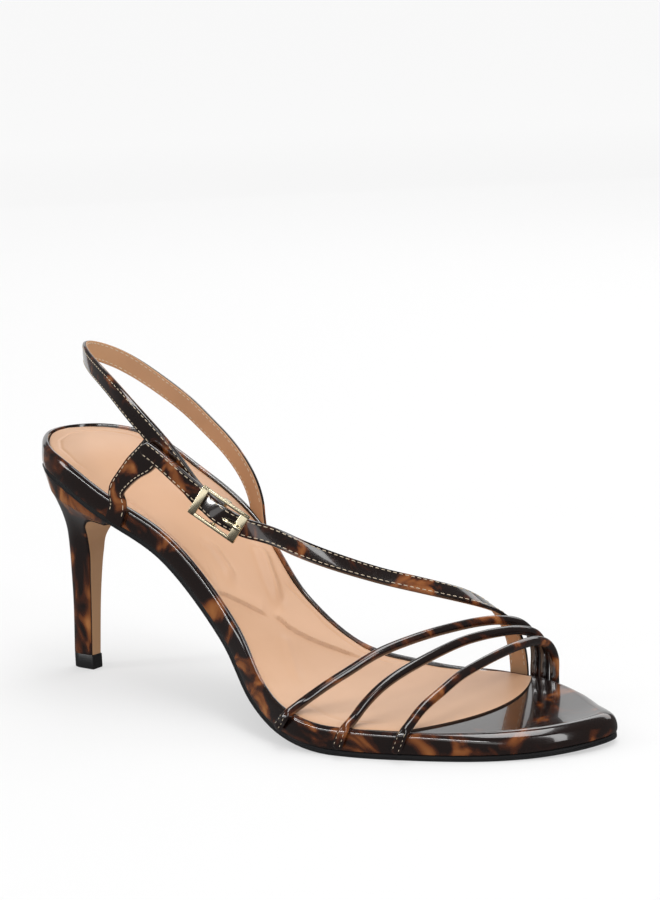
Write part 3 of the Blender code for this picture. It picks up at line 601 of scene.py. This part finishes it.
def make_sock():
    """Moulded sock: a fine grid with its relief, a side painted near-black as shade along its edge, and a
    closed underside.
    """
    rows, columns = SOCK_ROWS, SOCK_COLUMNS
    last = turn_of(SOCK_LAST_SHARE)
    points, places, faces, indices = [], [], [], []
    for row in range(rows + 1):
        turn = SOCK_FIRST_TURN + (last - SOCK_FIRST_TURN) * row / rows
        lateral = edge_point(turn, -SOCK_INSET)
        medial = edge_point(2.0 - turn, -SOCK_INSET)
        # The last six rows of the solid's 26 curve forward into the front edge
        reach = max(0.0, (row / rows * 26.0 - 20.0) / 6.0)
        for column in range(columns + 1):
            across = math.sin(math.pi * (column / columns - 0.5))
            x, y = lateral + (medial - lateral) * (across + 1.0) / 2.0
            x += SOCK_FRONT * reach ** 2 * (1.0 - across ** 2)
            roll = 0.0003 * math.exp(-(1.0 - abs(across)) * 55.0)
            thin = ease((row / rows - 0.90) / 0.10)
            flat = ease((row / rows - 0.80) / 0.18)
            rise = INSOLE_THICK - 0.0005 * thin - roll + sock_relief(x, y)
            rise += PAD_RISE * (1.0 - abs(across) ** 2.5) * (1.0 - flat)
            bed = platform_level(x / SOCK_LENGTH, "bed") + GAP * 0.3
            points.append(above_underside(x, y, bed + rise))
            places.append((x, y))
    layer = len(points)
    width = columns + 1
    for row in range(rows):
        for column in range(columns):
            a = row * width + column
            faces.append((a, a + 1, a + width + 1, a + width))
            indices.append(0)
    rim = grid_rim(rows, columns)
    for number in rim:
        x, y = places[number]
        points.append(above_underside(x, y, platform_level(x / SOCK_LENGTH, "bed") + 0.00005))
    # The side faces take the near-black material: painted shade along the sock's edge
    count = len(rim)
    for k in range(count):
        faces.append((rim[k], rim[(k + 1) % count], layer + (k + 1) % count, layer + k))
        indices.append(1)
    # The underside is closed by strips between the two long sides, and one face at each end
    for row in range(rows):
        right = layer + columns + row
        left = layer + (count - row) % count
        faces.append((left, right, right + 1, layer + count - row - 1))
        indices.append(1)
    faces.append(tuple(layer + k for k in range(columns, -1, -1)))
    faces.append(tuple(layer + columns + rows + k for k in range(columns, -1, -1)))
    indices += [1, 1]
    return add_object("sock", points, faces, [SOCK, SOCK_EDGE_SHADE], indices)


# Heel
def heel_values(share):
    """Section of the heel in metres, from its cap (0) to its top row (1)."""
    spots = np.arange(len(HEEL["back"]), dtype=float)
    return [smooth(share * spots[-1], spots, HEEL[name]) * scale for name, scale in zip(HEEL, HEEL_SCALES)]


def heel_ring(back, front, half, middle, height_at):
    """Section with a round back, straight sides and a flat front with small corners."""
    sides = 40
    depth = min(0.62 * (front - back), half * 1.05 + 0.15 * (front - back))
    corner = 0.0005
    ring = []
    for step in range(sides + 1):
        angle = math.pi * (step / sides - 0.5)
        ring.append((back + depth * (1.0 - math.cos(angle)), half * math.sin(angle)))
    for part in (0.33, 0.66, 0.9):
        ring.append((back + depth + (front - corner - back - depth) * part, half))
    for degrees in (90, 60, 30, 0):
        angle = math.radians(degrees)
        ring.append((front - corner + corner * math.cos(angle), half - corner + corner * math.sin(angle)))
    for part in (0.5, 0.0, -0.5):
        ring.append((front, (half - corner) * part))
    for degrees in (0, -30, -60, -90):
        angle = math.radians(degrees)
        ring.append((front - corner + corner * math.cos(angle), -half + corner + corner * math.sin(angle)))
    for part in (0.9, 0.66, 0.33):
        ring.append((back + depth + (front - corner - back - depth) * part, -half))
    return [Vector((x, y + middle, height_at(x))) for x, y in ring]


def make_heel():
    """Stem from the cap up, then the seat flared out to the outsole, open where the outsole covers it."""
    steps = 64
    flares = (0.35, 0.7, 1.0)
    points = []
    for step in range(steps + 1):
        back, front, half, middle, low, high = heel_values(step / steps)
        lean = (high - low) / (front - back)
        points += heel_ring(back, front, half, middle, lambda x: low + lean * (x - back))
    *last, low, high = heel_values(1.0)
    seat = [value * scale for value, scale in zip(HEEL_SEAT, HEEL_SCALES)]
    for part in flares:
        back, front, half, middle = (a + (b - a) * part for a, b in zip(last, seat))

        def height(x):
            under = low + (high - low) * (x - back) / (front - back)
            return under + (above_underside(x, 0.0, -GAP * 0.6).z - under) * part

        points += heel_ring(back, front, half, middle, height)
    rings = steps + 1 + len(flares)
    count = len(points) // rings
    faces = ring_faces(count, rings) + [tuple(range(count))]
    return add_object("heel_cover", points, faces, [PATENT_HEEL], sharp=50.0)


def make_breast():
    """Tan cover on the heel's front face with a dark folded edge."""
    steps, columns = 60, 12
    sections = [heel_values(step / steps) for step in range(steps + 1)]
    line = [Vector((front, 0.0, rise)) for _, front, _, _, _, rise in sections]
    points, faces, indices = [], [], []
    for level in (0, 1):
        for k, (_, x, half, middle, _, z) in enumerate(sections):
            along = heading(line, k)
            normal = Vector((along.z, 0.0, -along.x))
            reach = half - COVER_MARGIN
            for column in range(columns + 1):
                across = math.sin(math.pi * (column / columns - 0.5))
                crown = 0.00025 * (1.0 - abs(across) ** 6) - 0.0002
                lift = GAP * 0.2 + level * (COVER_THICK + crown)
                points.append(Vector((x, middle + reach * across, z)) + normal * lift)
    width = columns + 1
    layer = (steps + 1) * width
    for row in range(steps):
        for column in range(columns):
            a = row * width + column
            faces.append((layer + a, layer + a + 1, layer + a + width + 1, layer + a + width))
            indices.append(0)
            faces.append((a, a + width, a + width + 1, a + 1))
            indices.append(1)
    rim = grid_rim(steps, columns)
    for here, beside in zip(rim, rim[1:] + rim[:1]):
        faces.append((here, beside, layer + beside, layer + here))
        indices.append(1)
    return add_object("breast_cover", points, faces, [COVER, EDGE_PAINT], indices, sharp=60.0)


def make_cap():
    """Top piece under the stem, with eased edges."""
    back, front, half, middle, _, _ = heel_values(0.0)
    front += GAP + COVER_THICK
    top = CAP_HEIGHT + GAP * 0.5
    levels = ((0.00025, 0.0), (0.00006, 0.0001), (0.0, 0.0004), (0.0, top - 0.0003), (0.0002, top))
    points = []
    for inset, z in levels:
        points += heel_ring(back + inset, front - inset, half - inset, middle, lambda x, z=z: z)
    faces = tube_faces(len(points) // len(levels), len(levels))
    return add_object("heel_top_piece", points, faces, [BLACK])


# Straps
def strap_rows(rows):
    """Rows of a table as (centre, outward direction, width)."""
    count = len(rows["along"])
    widths = rows.get("width", np.ones(count)) * STRAP_WIDTH
    facings = np.radians(rows.get("facing", np.zeros(count)))
    tilts = np.radians(rows.get("tilt", np.zeros(count)))
    places = zip(rows["along"] * SOCK_LENGTH, rows["side"] * BALL_WIDTH, rows["rise"] * SEAT_HEIGHT)
    return [(Vector(place), direction(facings[k], tilts[k]), widths[k]) for k, place in enumerate(places)]


def smooth_path(rows, count):
    """Path of count equal steps along a smooth curve through the rows."""
    values = np.array([[*centre, *outer, width] for centre, outer, width in rows])
    legs = np.linalg.norm(np.diff(values[:, :3], axis=0), axis=1)
    places = np.concatenate([[0.0], np.cumsum(np.sqrt(legs))])
    lengths = np.concatenate([[0.0], np.cumsum(legs)])
    result = []
    for k in range(count + 1):
        place = float(np.interp(lengths[-1] * k / count, lengths, places))
        column = [smooth(place, places, values[:, c]) for c in range(7)]
        result.append((Vector(column[0:3]), Vector(column[3:6]).normalized(), column[6]))
    return result


def even_out(path, spread):
    """Takes small wobbles out of a path. spread is in metres, and the ends stay where they are."""
    step = (path[1][0] - path[0][0]).length
    reach = max(int(3.0 * spread / step), 1)
    values = np.array([[*centre, *outer, width] for centre, outer, width in path])
    result = []
    for k in range(len(path)):
        near = min(reach, k, len(path) - 1 - k)
        if near == 0:
            result.append(path[k])
            continue
        offsets = np.arange(-near, near + 1)
        weights = np.exp(-0.5 * (offsets * step / spread) ** 2)
        mean = (values[k - near:k + near + 1] * weights[:, None]).sum(axis=0) / weights.sum()
        result.append((Vector(mean[:3]), Vector(mean[3:6]).normalized(), float(mean[6])))
    return result


def lengths_along(path):
    """Distance from the path's start to each of its points."""
    lengths = [0.0]
    for here, after in zip(path, path[1:]):
        lengths.append(lengths[-1] + (after[0] - here[0]).length)
    return lengths


def section_frames(path):
    """Centre, outward face, across, width and along for each point of a path."""
    centres = [row[0] for row in path]
    frames = []
    for k, (centre, outer, width) in enumerate(path):
        along = heading(centres, k)
        face = (outer - along * outer.dot(along)).normalized()
        frames.append((centre, face, along.cross(face).normalized(), width, along))
    return frames


def wall_rows(share, side, half_thick, width, heights):
    """Rows of a strap that lies on the platform's wall."""
    outer = wall_normal(share, side)
    out, low = RIM + GAP + half_thick, OUTSOLE_THICK + GAP + WALL_FOOT
    return [(wall_point(share, side, out, low + height), outer, width) for height in heights]


BUCKLE_ORIGIN = Vector((0.4235 * SOCK_LENGTH, -0.2986 * BALL_WIDTH, 0.900 * SEAT_HEIGHT))
BUCKLE_ALONG = direction(BUCKLE_HEADING, -BUCKLE_FALL)
BUCKLE_OUT = direction(BUCKLE_FACING, BUCKLE_TILT)
BUCKLE_OUT = (BUCKLE_OUT - BUCKLE_ALONG * BUCKLE_OUT.dot(BUCKLE_ALONG)).normalized()
BUCKLE_ACROSS = BUCKLE_OUT.cross(BUCKLE_ALONG).normalized()


def buckle_place(u, v, w):
    """Point in the buckle's axes: along it, across it and out of it."""
    return BUCKLE_ORIGIN + BUCKLE_ALONG * u + BUCKLE_ACROSS * v + BUCKLE_OUT * w


def buckle_rows(places):
    return [(buckle_place(u, v, w), BUCKLE_OUT, STRAP_WIDTH * width) for u, v, w, width in places]


# Heights of the straps' middles in the buckle: under its bars, over the eye, and one strap lower
EYE_RADIUS = BAR_RADIUS + GAP + EYE_WALL
UNDER_BAR = FRAME_LIFT - FRAME_THICK / 2.0 - GAP - STRAP_THICK / 2.0
OVER_EYE = EYE_RADIUS + GAP + STRAP_THICK / 2.0
BENEATH = UNDER_BAR - STRAP_THICK - GAP

# Heights of a strap's foot above the bottom of the platform's wall
FOOT_HEIGHTS = (0.95 * PLATFORM_THICK, 0.5 * PLATFORM_THICK, 0.0)


def layered_section(width):
    """Strap section as (across, outward, layer): 0 patent face, 1 painted edge, 2 lining."""
    half, depth, soft, bulge = width / 2.0, STRAP_THICK / 2.0, EDGE_SOFT, 0.00004
    face = []
    for step in range(9):
        across = (half - soft) * (1.0 - step / 4.0)
        face.append((across, depth + STRAP_CROWN * (1.0 - (across / half) ** 2) - STRAP_CROWN * 0.4, 0))
    left = [(-half + soft * 0.3, depth - soft * 0.45, 0), (-half, depth - soft * 1.4, 0),
            (-half - bulge, -depth * 0.15, 1), (-half, -depth * 0.62, 2), (-half + soft * 0.6, -depth, 2)]
    lining = [(half * across, -depth, 2) for across in (-0.5, 0.0, 0.5)]
    right = [(half - soft * 0.6, -depth, 2), (half, -depth * 0.62, 1), (half + bulge, -depth * 0.15, 0),
             (half, depth - soft * 1.4, 0), (half - soft * 0.3, depth - soft * 0.45, 0)]
    return face + left + lining + right


def rounded_end(length, reach, least):
    """Share of the full size at a length from an end that is rounded over its reach."""
    return max(least, math.sqrt(1.0 - (1.0 - length / reach) ** 2)) if length < reach else 1.0


def sweep_strap(name, path, materials, taper=0.0, seat=None):
    """Flat strap with a patent face, painted edges and a lining.

    taper is the length over which its start is rounded off in plan, and seat the plane its end is cut to.
    """
    lengths = lengths_along(path)
    points = []
    layers = [row[2] for row in layered_section(STRAP_WIDTH)]
    count = len(layers)
    for k, (centre, face, across, width, _) in enumerate(section_frames(path)):
        for side, out, _ in layered_section(width * rounded_end(lengths[k], taper, 0.35)):
            points.append(centre + across * side + face * out)
    if seat:
        along = (path[-1][0] - path[-2][0]).normalized()
        for k in range(len(points) - count, len(points)):
            points[k] = points[k] + along * ((seat[0] - points[k]).dot(seat[1]) / along.dot(seat[1]))
    faces = tube_faces(count, len(path))
    indices = layers * (len(path) - 1) + [1, 1]
    return add_object(name, points, faces, materials, indices, sharp=45.0)


# Each stitch: start, middle and end with their outward directions, and its size
STITCHES = []


def stitch_row(path, edge, out, start, margin, skip=None):
    """Dashes of thread along one edge of a strap, on its face (out 1) or its lining (out -1)."""
    frames = section_frames(path)
    lengths = np.array(lengths_along(path))
    place = start
    while place + STITCH_LENGTH < lengths[-1] - margin:
        spots = []
        for spot in (place, place + STITCH_LENGTH / 2.0, place + STITCH_LENGTH):
            k = int(np.clip(np.searchsorted(lengths, spot) - 1, 0, len(frames) - 2))
            part = (spot - lengths[k]) / (lengths[k + 1] - lengths[k])
            a, b = frames[k], frames[k + 1]
            centre = a[0].lerp(b[0], part)
            face = a[1].lerp(b[1], part).normalized()
            across = a[2].lerp(b[2], part).normalized()
            width = a[3] + (b[3] - a[3]) * part
            side = (width / 2.0 - STITCH_INSET) * edge
            crown = STRAP_CROWN * (1.0 - (2.0 * side / width) ** 2) - 0.00007 if out > 0 else 0.0
            spots.append((centre + across * side + face * out * (STRAP_THICK / 2.0 + crown), face * out))
        if skip is None or not skip(spots[1][0]):
            STITCHES.append([*spots, 1.0])
        place += STITCH_LENGTH + STITCH_SPACE


def make_stitches():
    """All threads as small rounded dashes sunk into the leather at their ends."""
    points, faces = [], []
    sides = 6
    for (a, up_a), (middle, up), (b, up_b), size in STITCHES:
        across = (b - a).normalized().cross(up).normalized()
        base = len(points)
        spots = ((a, up_a, -0.00013, 0.5), (a.lerp(middle, 0.35), up_a, 0.00001, 0.95),
                 (middle, up, 0.00004, 1.05), (middle.lerp(b, 0.65), up_b, 0.00001, 0.95),
                 (b, up_b, -0.00013, 0.5))
        for spot, normal, lift, scale in spots:
            radius = THREAD_RADIUS * scale * size
            for k in range(sides):
                angle = 2.0 * math.pi * k / sides
                points.append(spot + normal * (lift + 0.8 * radius * math.sin(angle))
                              + across * radius * math.cos(angle))
        faces += [tuple(base + k for k in face) for face in tube_faces(sides, len(spots))]
    return add_object("stitching", points, faces, [THREAD], sharp=80.0)


def near_path(path, margin):
    """Test that tells whether a point lies over a strap's width."""
    frames = section_frames(path)
    reach, height = 0.0022, 0.003

    def inside(point):
        for centre, face, across, width, along in frames:
            offset = point - centre
            beside = abs(offset.dot(along)) < reach and abs(offset.dot(across)) < width / 2.0 - margin
            if beside and abs(offset.dot(face)) < height:
                return True
        return False

    return inside


def apply_union(target, tool):
    """Joins a second piece into the target's mesh."""
    modifier = target.modifiers.new("union", "BOOLEAN")
    modifier.object = tool
    modifier.operation = "UNION"
    graph = bpy.context.evaluated_depsgraph_get()
    mesh = bpy.data.meshes.new_from_object(target.evaluated_get(graph), depsgraph=graph)
    target.modifiers.clear()
    target.data = mesh
    mesh.shade_smooth()
    mesh.set_sharp_from_angle(angle=math.radians(42.0))
    bpy.data.objects.remove(tool)


def instep_path():
    """Diagonal strap: tail, under the back bar, over the eye, under the front bar, down to its foot."""
    back = -BUCKLE_LENGTH / 2.0 + BACK_BAR / 2.0
    front = BUCKLE_LENGTH / 2.0 - FRONT_BAR / 2.0
    hump = 0.0018
    through = [(back - 0.0012, 0.0010, UNDER_BAR), (back + 0.0006, 0.0007, UNDER_BAR),
               (-hump * 2.0, 0.0005, OVER_EYE * 0.62), (-hump * 0.6, 0.0004, OVER_EYE),
               (hump * 0.6, 0.0003, OVER_EYE), (hump * 2.0, 0.0003, OVER_EYE * 0.62),
               (front - 0.0012, 0.0003, UNDER_BAR), (front + 0.0006, 0.0004, UNDER_BAR)]
    through = [(*place, 0.95) for place in through]
    rows = strap_rows(INSTEP_TAIL) + buckle_rows(through) + strap_rows(INSTEP_STRAP)
    rows += wall_rows(INSTEP_FOOT, 1, STRAP_THICK / 2.0, STRAP_WIDTH, FOOT_HEIGHTS)
    return even_out(smooth_path(rows, 300), 0.0022)


def sling_path():
    """Buckle strap, sling and its medial foot, and the plane that the foot is cut to."""
    seat = EYE_RADIUS - STRAP_THICK / 2.0
    back = -BUCKLE_LENGTH / 2.0 + BACK_BAR / 2.0
    rows = buckle_rows([(0.0, 0.0, -seat, 1.0), (-0.0025, 0.0, -seat - 0.0001, 1.0),
                        (back, 0.0, BENEATH, 1.0), (back - 0.0030, 0.0, BENEATH - 0.0002, 1.0)])
    rows += strap_rows(SLING)
    rim = platform_level(SLING_FOOT, "rim")
    foot = wall_point(SLING_FOOT, 1, RIM * 0.6, rim)
    lifted = wall_point(SLING_FOOT, 1, RIM * 0.6, rim + GAP)
    rows.append((foot, wall_normal(SLING_FOOT, 1), STRAP_WIDTH))
    return even_out(smooth_path(rows, 320), 0.0045), (foot, (lifted - foot).normalized())


def upright_path():
    foot = wall_rows(UPRIGHT_FOOT, -1, STRAP_THICK / 2.0, STRAP_WIDTH, FOOT_HEIGHTS)
    return even_out(smooth_path(strap_rows(UPRIGHT) + foot, 90), 0.0016)


def make_straps():
    """Flat straps and their stitch rows. The upright is joined into the sling."""
    layers = [PATENT_STRAP, EDGE_PAINT, LINING]
    instep = instep_path()
    sling, seat = sling_path()
    upright = upright_path()

    instep_piece = sweep_strap("instep_strap_leather", instep, layers, taper=0.0024)
    sling_piece = sweep_strap("sling_leather", sling, layers, seat=seat)
    apply_union(sling_piece, sweep_strap("upright_leather", upright, layers))

    over_upright = near_path(upright, 0.0012)
    over_sling = near_path(sling, 0.0004)
    for edge in (-1, 1):
        stitch_row(instep, edge, 1, start=0.0016, margin=0.006)
        stitch_row(instep, edge, -1, start=0.030, margin=0.008)
        stitch_row(sling, edge, 1, start=0.006, margin=0.004, skip=over_upright if edge == 1 else None)
        stitch_row(sling, edge, -1, start=0.030, margin=0.004)
        stitch_row(upright, edge, 1, start=0.003, margin=0.002, skip=over_sling)
    return instep_piece, sling_piece


def make_toe_strap(name):
    """Round strap whose outer end is pressed flat on the platform's wall."""
    lateral, medial, rows = TOE_STRAPS[name]
    path = []
    for share, height in zip(lateral, (0.0, 0.42, 0.78)):
        path += wall_rows(share, -1, TUBE_RADIUS, STRAP_WIDTH, (height * PLATFORM_THICK,))
    path += strap_rows(rows)
    path += wall_rows(medial, 1, TUBE_RADIUS, STRAP_WIDTH, FOOT_HEIGHTS)
    path = smooth_path([(centre, Vector((0.0, 0.0, 1.0)), width) for centre, _, width in path], 240)
    path = even_out(path, 0.0013)
    centres = [row[0] for row in path]
    lengths = lengths_along(path)
    outer = wall_normal(lateral[0], -1)
    last = wall_normal(medial, 1)
    sides = 20
    points, tab = [], []
    for k, centre in enumerate(centres):
        along = heading(centres, k)
        start = lengths[k]
        finish = lengths[-1] - lengths[k]
        # The tab's face looks out of the wall, and the round part's face looks up
        if start < finish:
            face = outer.lerp(Vector((0.0, -0.2, 1.0)), ease((start - TAB_TURN) / 0.008))
        else:
            face = last.lerp(Vector((0.0, 0.2, 1.0)), ease((finish - TAB_TURN) / 0.008))
        face = (face - along * face.dot(along)).normalized()
        across = along.cross(face).normalized()
        flat = 1.0 - ease((start - TAB_FLAT) / 0.0055)
        wide = TUBE_RADIUS * (1.0 + 0.12 * flat)
        deep = TUBE_RADIUS * (1.0 - 0.55 * flat)
        centre = centre - face * (TUBE_RADIUS - deep) * 0.9
        wide *= rounded_end(start, TAB_END, 0.3)
        deep *= rounded_end(start, TAB_END, 0.5)
        if start < 0.011:
            tab.append((centre, face, across * wide, deep))
        for side in range(sides):
            angle = 2.0 * math.pi * side / sides
            points.append(centre + across * wide * math.cos(angle) + face * deep * math.sin(angle))
    for offset in (-0.55, 0.55):
        spots = [(middle + beside * offset + up * deep * 0.86, up) for middle, up, beside, deep in tab]
        for k in range(3, len(spots) - 6, 4):
            if lengths[k] > TAB_STITCHED:
                break
            STITCHES.append([spots[k], spots[k + 1], spots[k + 2], 0.55])
    return add_object(name + "_leather", points, tube_faces(sides, len(path)), [PATENT_STRAP], sharp=70.0)


# Buckle
def rounded_box(u0, u1, v0, v1, w0, w1):
    """Box in the buckle's axes with rounded edges, as points and faces."""
    shape = bmesh.new()
    bmesh.ops.create_cube(shape, size=1.0)
    for vertex in shape.verts:
        u, v, w = vertex.co
        vertex.co = ((u0 + u1) / 2.0 + u * (u1 - u0), (v0 + v1) / 2.0 + v * (v1 - v0),
                     (w0 + w1) / 2.0 + w * (w1 - w0))
    bmesh.ops.bevel(shape, geom=list(shape.edges), offset=BUCKLE_SOFT, segments=3, profile=0.5,
                    affect="EDGES")
    shape.verts.index_update()
    points = [buckle_place(*vertex.co) for vertex in shape.verts]
    faces = [tuple(vertex.index for vertex in face.verts) for face in shape.faces]
    shape.free()
    return points, faces


def tube_along(places, radii, sides=14):
    """Round rod through places in the buckle's axes."""
    centres = [buckle_place(*place) for place in places]
    points = []
    for k, centre in enumerate(centres):
        along = heading(centres, k)
        reference = BUCKLE_ACROSS if abs(along.dot(BUCKLE_ACROSS)) < 0.8 else BUCKLE_OUT
        across = along.cross(reference).normalized()
        other = along.cross(across)
        for side in range(sides):
            angle = 2.0 * math.pi * side / sides
            points.append(centre + (across * math.cos(angle) + other * math.sin(angle)) * radii[k])
    return points, tube_faces(sides, len(centres))


def join_parts(name, parts, materials, sharp=35.0):
    """One piece from several closed parts."""
    points, faces = [], []
    for more_points, more_faces in parts:
        base = len(points)
        points += more_points
        faces += [tuple(base + k for k in face) for face in more_faces]
    return add_object(name, points, faces, materials, sharp=sharp)


def make_frame():
    """Buckle frame: two rails with lugs for the centre bar, a back bar and a front bar."""
    half_length, half_width = BUCKLE_LENGTH / 2.0, BUCKLE_WIDTH / 2.0
    low, high = FRAME_LIFT - FRAME_THICK / 2.0, FRAME_LIFT + FRAME_THICK / 2.0
    parts = []
    for side in (-1.0, 1.0):
        v0, v1 = sorted((side * (half_width - RAIL_WIDTH * 0.92), side * half_width))
        parts.append(rounded_box(-half_length, half_length, v0, v1, low + 0.0001, high))
        parts.append(rounded_box(-LUG_REACH, LUG_REACH, v0, v1, -BAR_RADIUS, low + 0.0004))
    parts.append(rounded_box(-half_length, -half_length + BACK_BAR, -half_width, half_width, low, high))
    parts.append(rounded_box(half_length - FRONT_BAR, half_length, -half_width, half_width, low, high))
    inner = half_width - RAIL_WIDTH * 0.5
    parts.append(tube_along(((0.0, -inner, 0.0), (0.0, 0.0, 0.0), (0.0, inner, 0.0)), (BAR_RADIUS,) * 3))
    return join_parts("buckle_metal", parts, [GOLD])


def make_prong():
    """Prong from its loop round the centre bar, through the eye and over the front bar."""
    steps, turns = 30, 16
    rest = FRAME_LIFT + FRAME_THICK / 2.0 + GAP * 0.2 + PRONG_RADIUS
    tip = BUCKLE_LENGTH / 2.0
    out = np.array([0.0011, 0.0018, 0.0027, 0.0042, 0.0062, tip - 0.0016, tip - 0.0004])
    lift = np.array([0.0006, 0.0019, 0.0030, 0.0034, rest, rest + 0.0001, rest - 0.0001])
    radii = PRONG_RADIUS * np.array([1.0, 1.15, 1.3, 1.5, 1.6, 1.5, 1.0])
    spots = np.arange(len(out), dtype=float)
    places = [spots[-1] * k / steps for k in range(steps + 1)]
    rod = [(smooth(place, spots, out), 0.0, smooth(place, spots, lift)) for place in places]
    shank = tube_along(rod, [smooth(place, spots, radii) for place in places])
    reach = BAR_RADIUS + 0.0004
    angles = [2.0 * math.pi * k / turns for k in range(turns + 1)]
    ring = [(reach * math.cos(angle), 0.0, reach * math.sin(angle)) for angle in angles]
    return join_parts("prong_metal", [shank, tube_along(ring, [PRONG_LOOP] * len(ring), 10)], [GOLD], 50.0)


def make_floor():
    """Pale floor, bright far away where the lamps don't reach."""
    material, tree, shader = principled("pale_floor", Roughness=0.9, Specular_IOR_Level=0.03)
    shader.inputs["Base Color"].default_value = (0.36, 0.36, 0.36, 1.0)
    shader.inputs["Emission Color"].default_value = (1.0, 1.0, 1.0, 1.0)
    place = node(tree, "ShaderNodeTexCoord")
    distance = node(tree, "ShaderNodeVectorMath", operation="LENGTH")
    reach = {"From Min": 0.3, "From Max": 2.2, "To Min": 0.53, "To Max": 0.66}
    glow = node(tree, "ShaderNodeMapRange", **reach)
    tree.links.new(place.outputs["Object"], distance.inputs[0])
    tree.links.new(distance.outputs["Value"], glow.inputs["Value"])
    tree.links.new(glow.outputs["Result"], shader.inputs["Emission Strength"])
    size, below = 14.0, -0.00002
    corners = ((-size, -size, below), (size, -size, below), (size, size, below), (-size, size, below))
    mesh = bpy.data.meshes.new("floor")
    mesh.from_pydata(corners, [], [(0, 1, 2, 3)])
    mesh.materials.append(material)
    piece = bpy.data.objects.new("floor", mesh)
    piece.visible_glossy = False
    bpy.context.scene.collection.objects.link(piece)


def area_light(name, place, aim, size, power, diffuse=True):
    """Softbox that the camera doesn't see. Without diffuse it only gives reflections."""
    light = bpy.data.lights.new(name, "AREA")
    light.shape = "RECTANGLE"
    light.size, light.size_y = size
    light.energy = power
    item = bpy.data.objects.new(name, light)
    item.location = place
    item.rotation_euler = (Vector(aim) - Vector(place)).to_track_quat("-Z", "Y").to_euler()
    item.visible_diffuse = diffuse
    item.visible_camera = False
    bpy.context.scene.collection.objects.link(item)


def make_world():
    """White studio: dimmer in the patent's reflections, and brighter where the backdrop itself is seen."""
    world = bpy.data.worlds.new("studio")
    world.use_nodes = True
    tree = world.node_tree
    background = tree.nodes["Background"]
    background.inputs["Color"].default_value = (1.0, 1.0, 1.0, 1.0)
    rays = node(tree, "ShaderNodeLightPath")
    dimming = node(tree, "ShaderNodeMapRange", **{"To Min": 0.60, "To Max": 0.10})
    tree.links.new(rays.outputs["Is Glossy Ray"], dimming.inputs["Value"])
    backdrop = node(tree, "ShaderNodeMath", operation="MULTIPLY_ADD")
    backdrop.inputs[1].default_value = 0.33
    tree.links.new(rays.outputs["Is Camera Ray"], backdrop.inputs[0])
    tree.links.new(dimming.outputs["Result"], backdrop.inputs[2])
    tree.links.new(backdrop.outputs["Value"], background.inputs["Strength"])
    bpy.context.scene.world = world


def make_lights():
    make_world()
    sun = bpy.data.lights.new("soft_sun", "SUN")
    sun.energy = 0.65
    sun.angle = math.radians(70.0)
    item = bpy.data.objects.new("soft_sun", sun)
    item.rotation_euler = (math.radians(-14.0), math.radians(10.0), 0.0)
    item.visible_glossy = False
    bpy.context.scene.collection.objects.link(item)
    middle = (0.0, 0.0, 0.06)
    area_light("front_card", (0.2, -1.35, 0.20), middle, (1.9, 0.36), 2.4, diffuse=False)
    area_light("front_strip", (-0.1, -1.25, 0.62), middle, (2.2, 0.10), 12.0, diffuse=False)
    area_light("rim_card", (-1.0, 1.25, 0.15), middle, (1.7, 1.1), 3.0, diffuse=False)
    area_light("top_box", (0.10, 0.10, 1.00), (0.0, 0.0, 0.05), (0.9, 0.30), 3.5)
    area_light("left_box", (-0.9, -0.75, 0.65), middle, (0.22, 1.1), 3.5)
    area_light("right_box", (1.1, -0.35, 0.55), (0.05, 0.0, 0.05), (0.2, 1.0), 2.8)
    area_light("back_box", (-0.2, 1.1, 0.75), middle, (1.4, 0.4), 2.8)
    bpy.context.scene.view_settings.view_transform = "Standard"


def make_camera():
    """Camera at the photograph's angle, aimed from its turn, rise, roll and distance."""
    turn, rise, roll = CAMERA_TURN, CAMERA_RISE, CAMERA_ROLL
    back = Vector((math.sin(turn) * math.cos(rise), -math.cos(turn) * math.cos(rise), math.sin(rise)))
    right = Vector((math.cos(turn), math.sin(turn), 0.0))
    up = back.cross(right)
    across = right * math.cos(roll) + up * math.sin(roll)
    above = up * math.cos(roll) - right * math.sin(roll)
    place = CAMERA_AIM + back * CAMERA_DISTANCE - ORIGIN
    camera = bpy.data.cameras.new("camera")
    camera.lens = CAMERA_LENS
    camera.clip_start = 0.01
    item = bpy.data.objects.new("camera", camera)
    bpy.context.scene.collection.objects.link(item)
    axes = Matrix((across, above, back)).transposed()
    item.matrix_world = Matrix.Translation(place) @ axes.to_4x4()
    bpy.context.scene.camera = item


# Pieces, in the order of the shoe from the floor up
finish_piece(sole_sheet("outsole_rubber", outsole_profile, [BLACK]), "black_sole", "outsole")
finish_piece(sole_sheet("platform_patent", platform_profile, [PATENT]), "tortoise_patent", "platform")
sock_piece = finish_piece(make_sock(), "nude_sock", "insole")
finish_piece(make_heel(), "tortoise_patent", "heel")
finish_piece(make_breast(), "tan_cover", "heel_breast")
finish_piece(make_cap(), "black_sole", "heel_cap")
instep_piece, sling_piece = make_straps()
finish_piece(instep_piece, "tortoise_patent", "instep_strap")
finish_piece(sling_piece, "tortoise_patent", "heel_sling")
for strap_name in TOE_STRAPS:
    finish_piece(make_toe_strap(strap_name), "tortoise_patent", strap_name)
finish_piece(make_frame(), "pale_gold", "buckle_frame")
finish_piece(make_prong(), "pale_gold", "buckle_prong")
finish_piece(make_stitches(), "tortoise_patent")
make_floor()
make_lights()
make_camera()
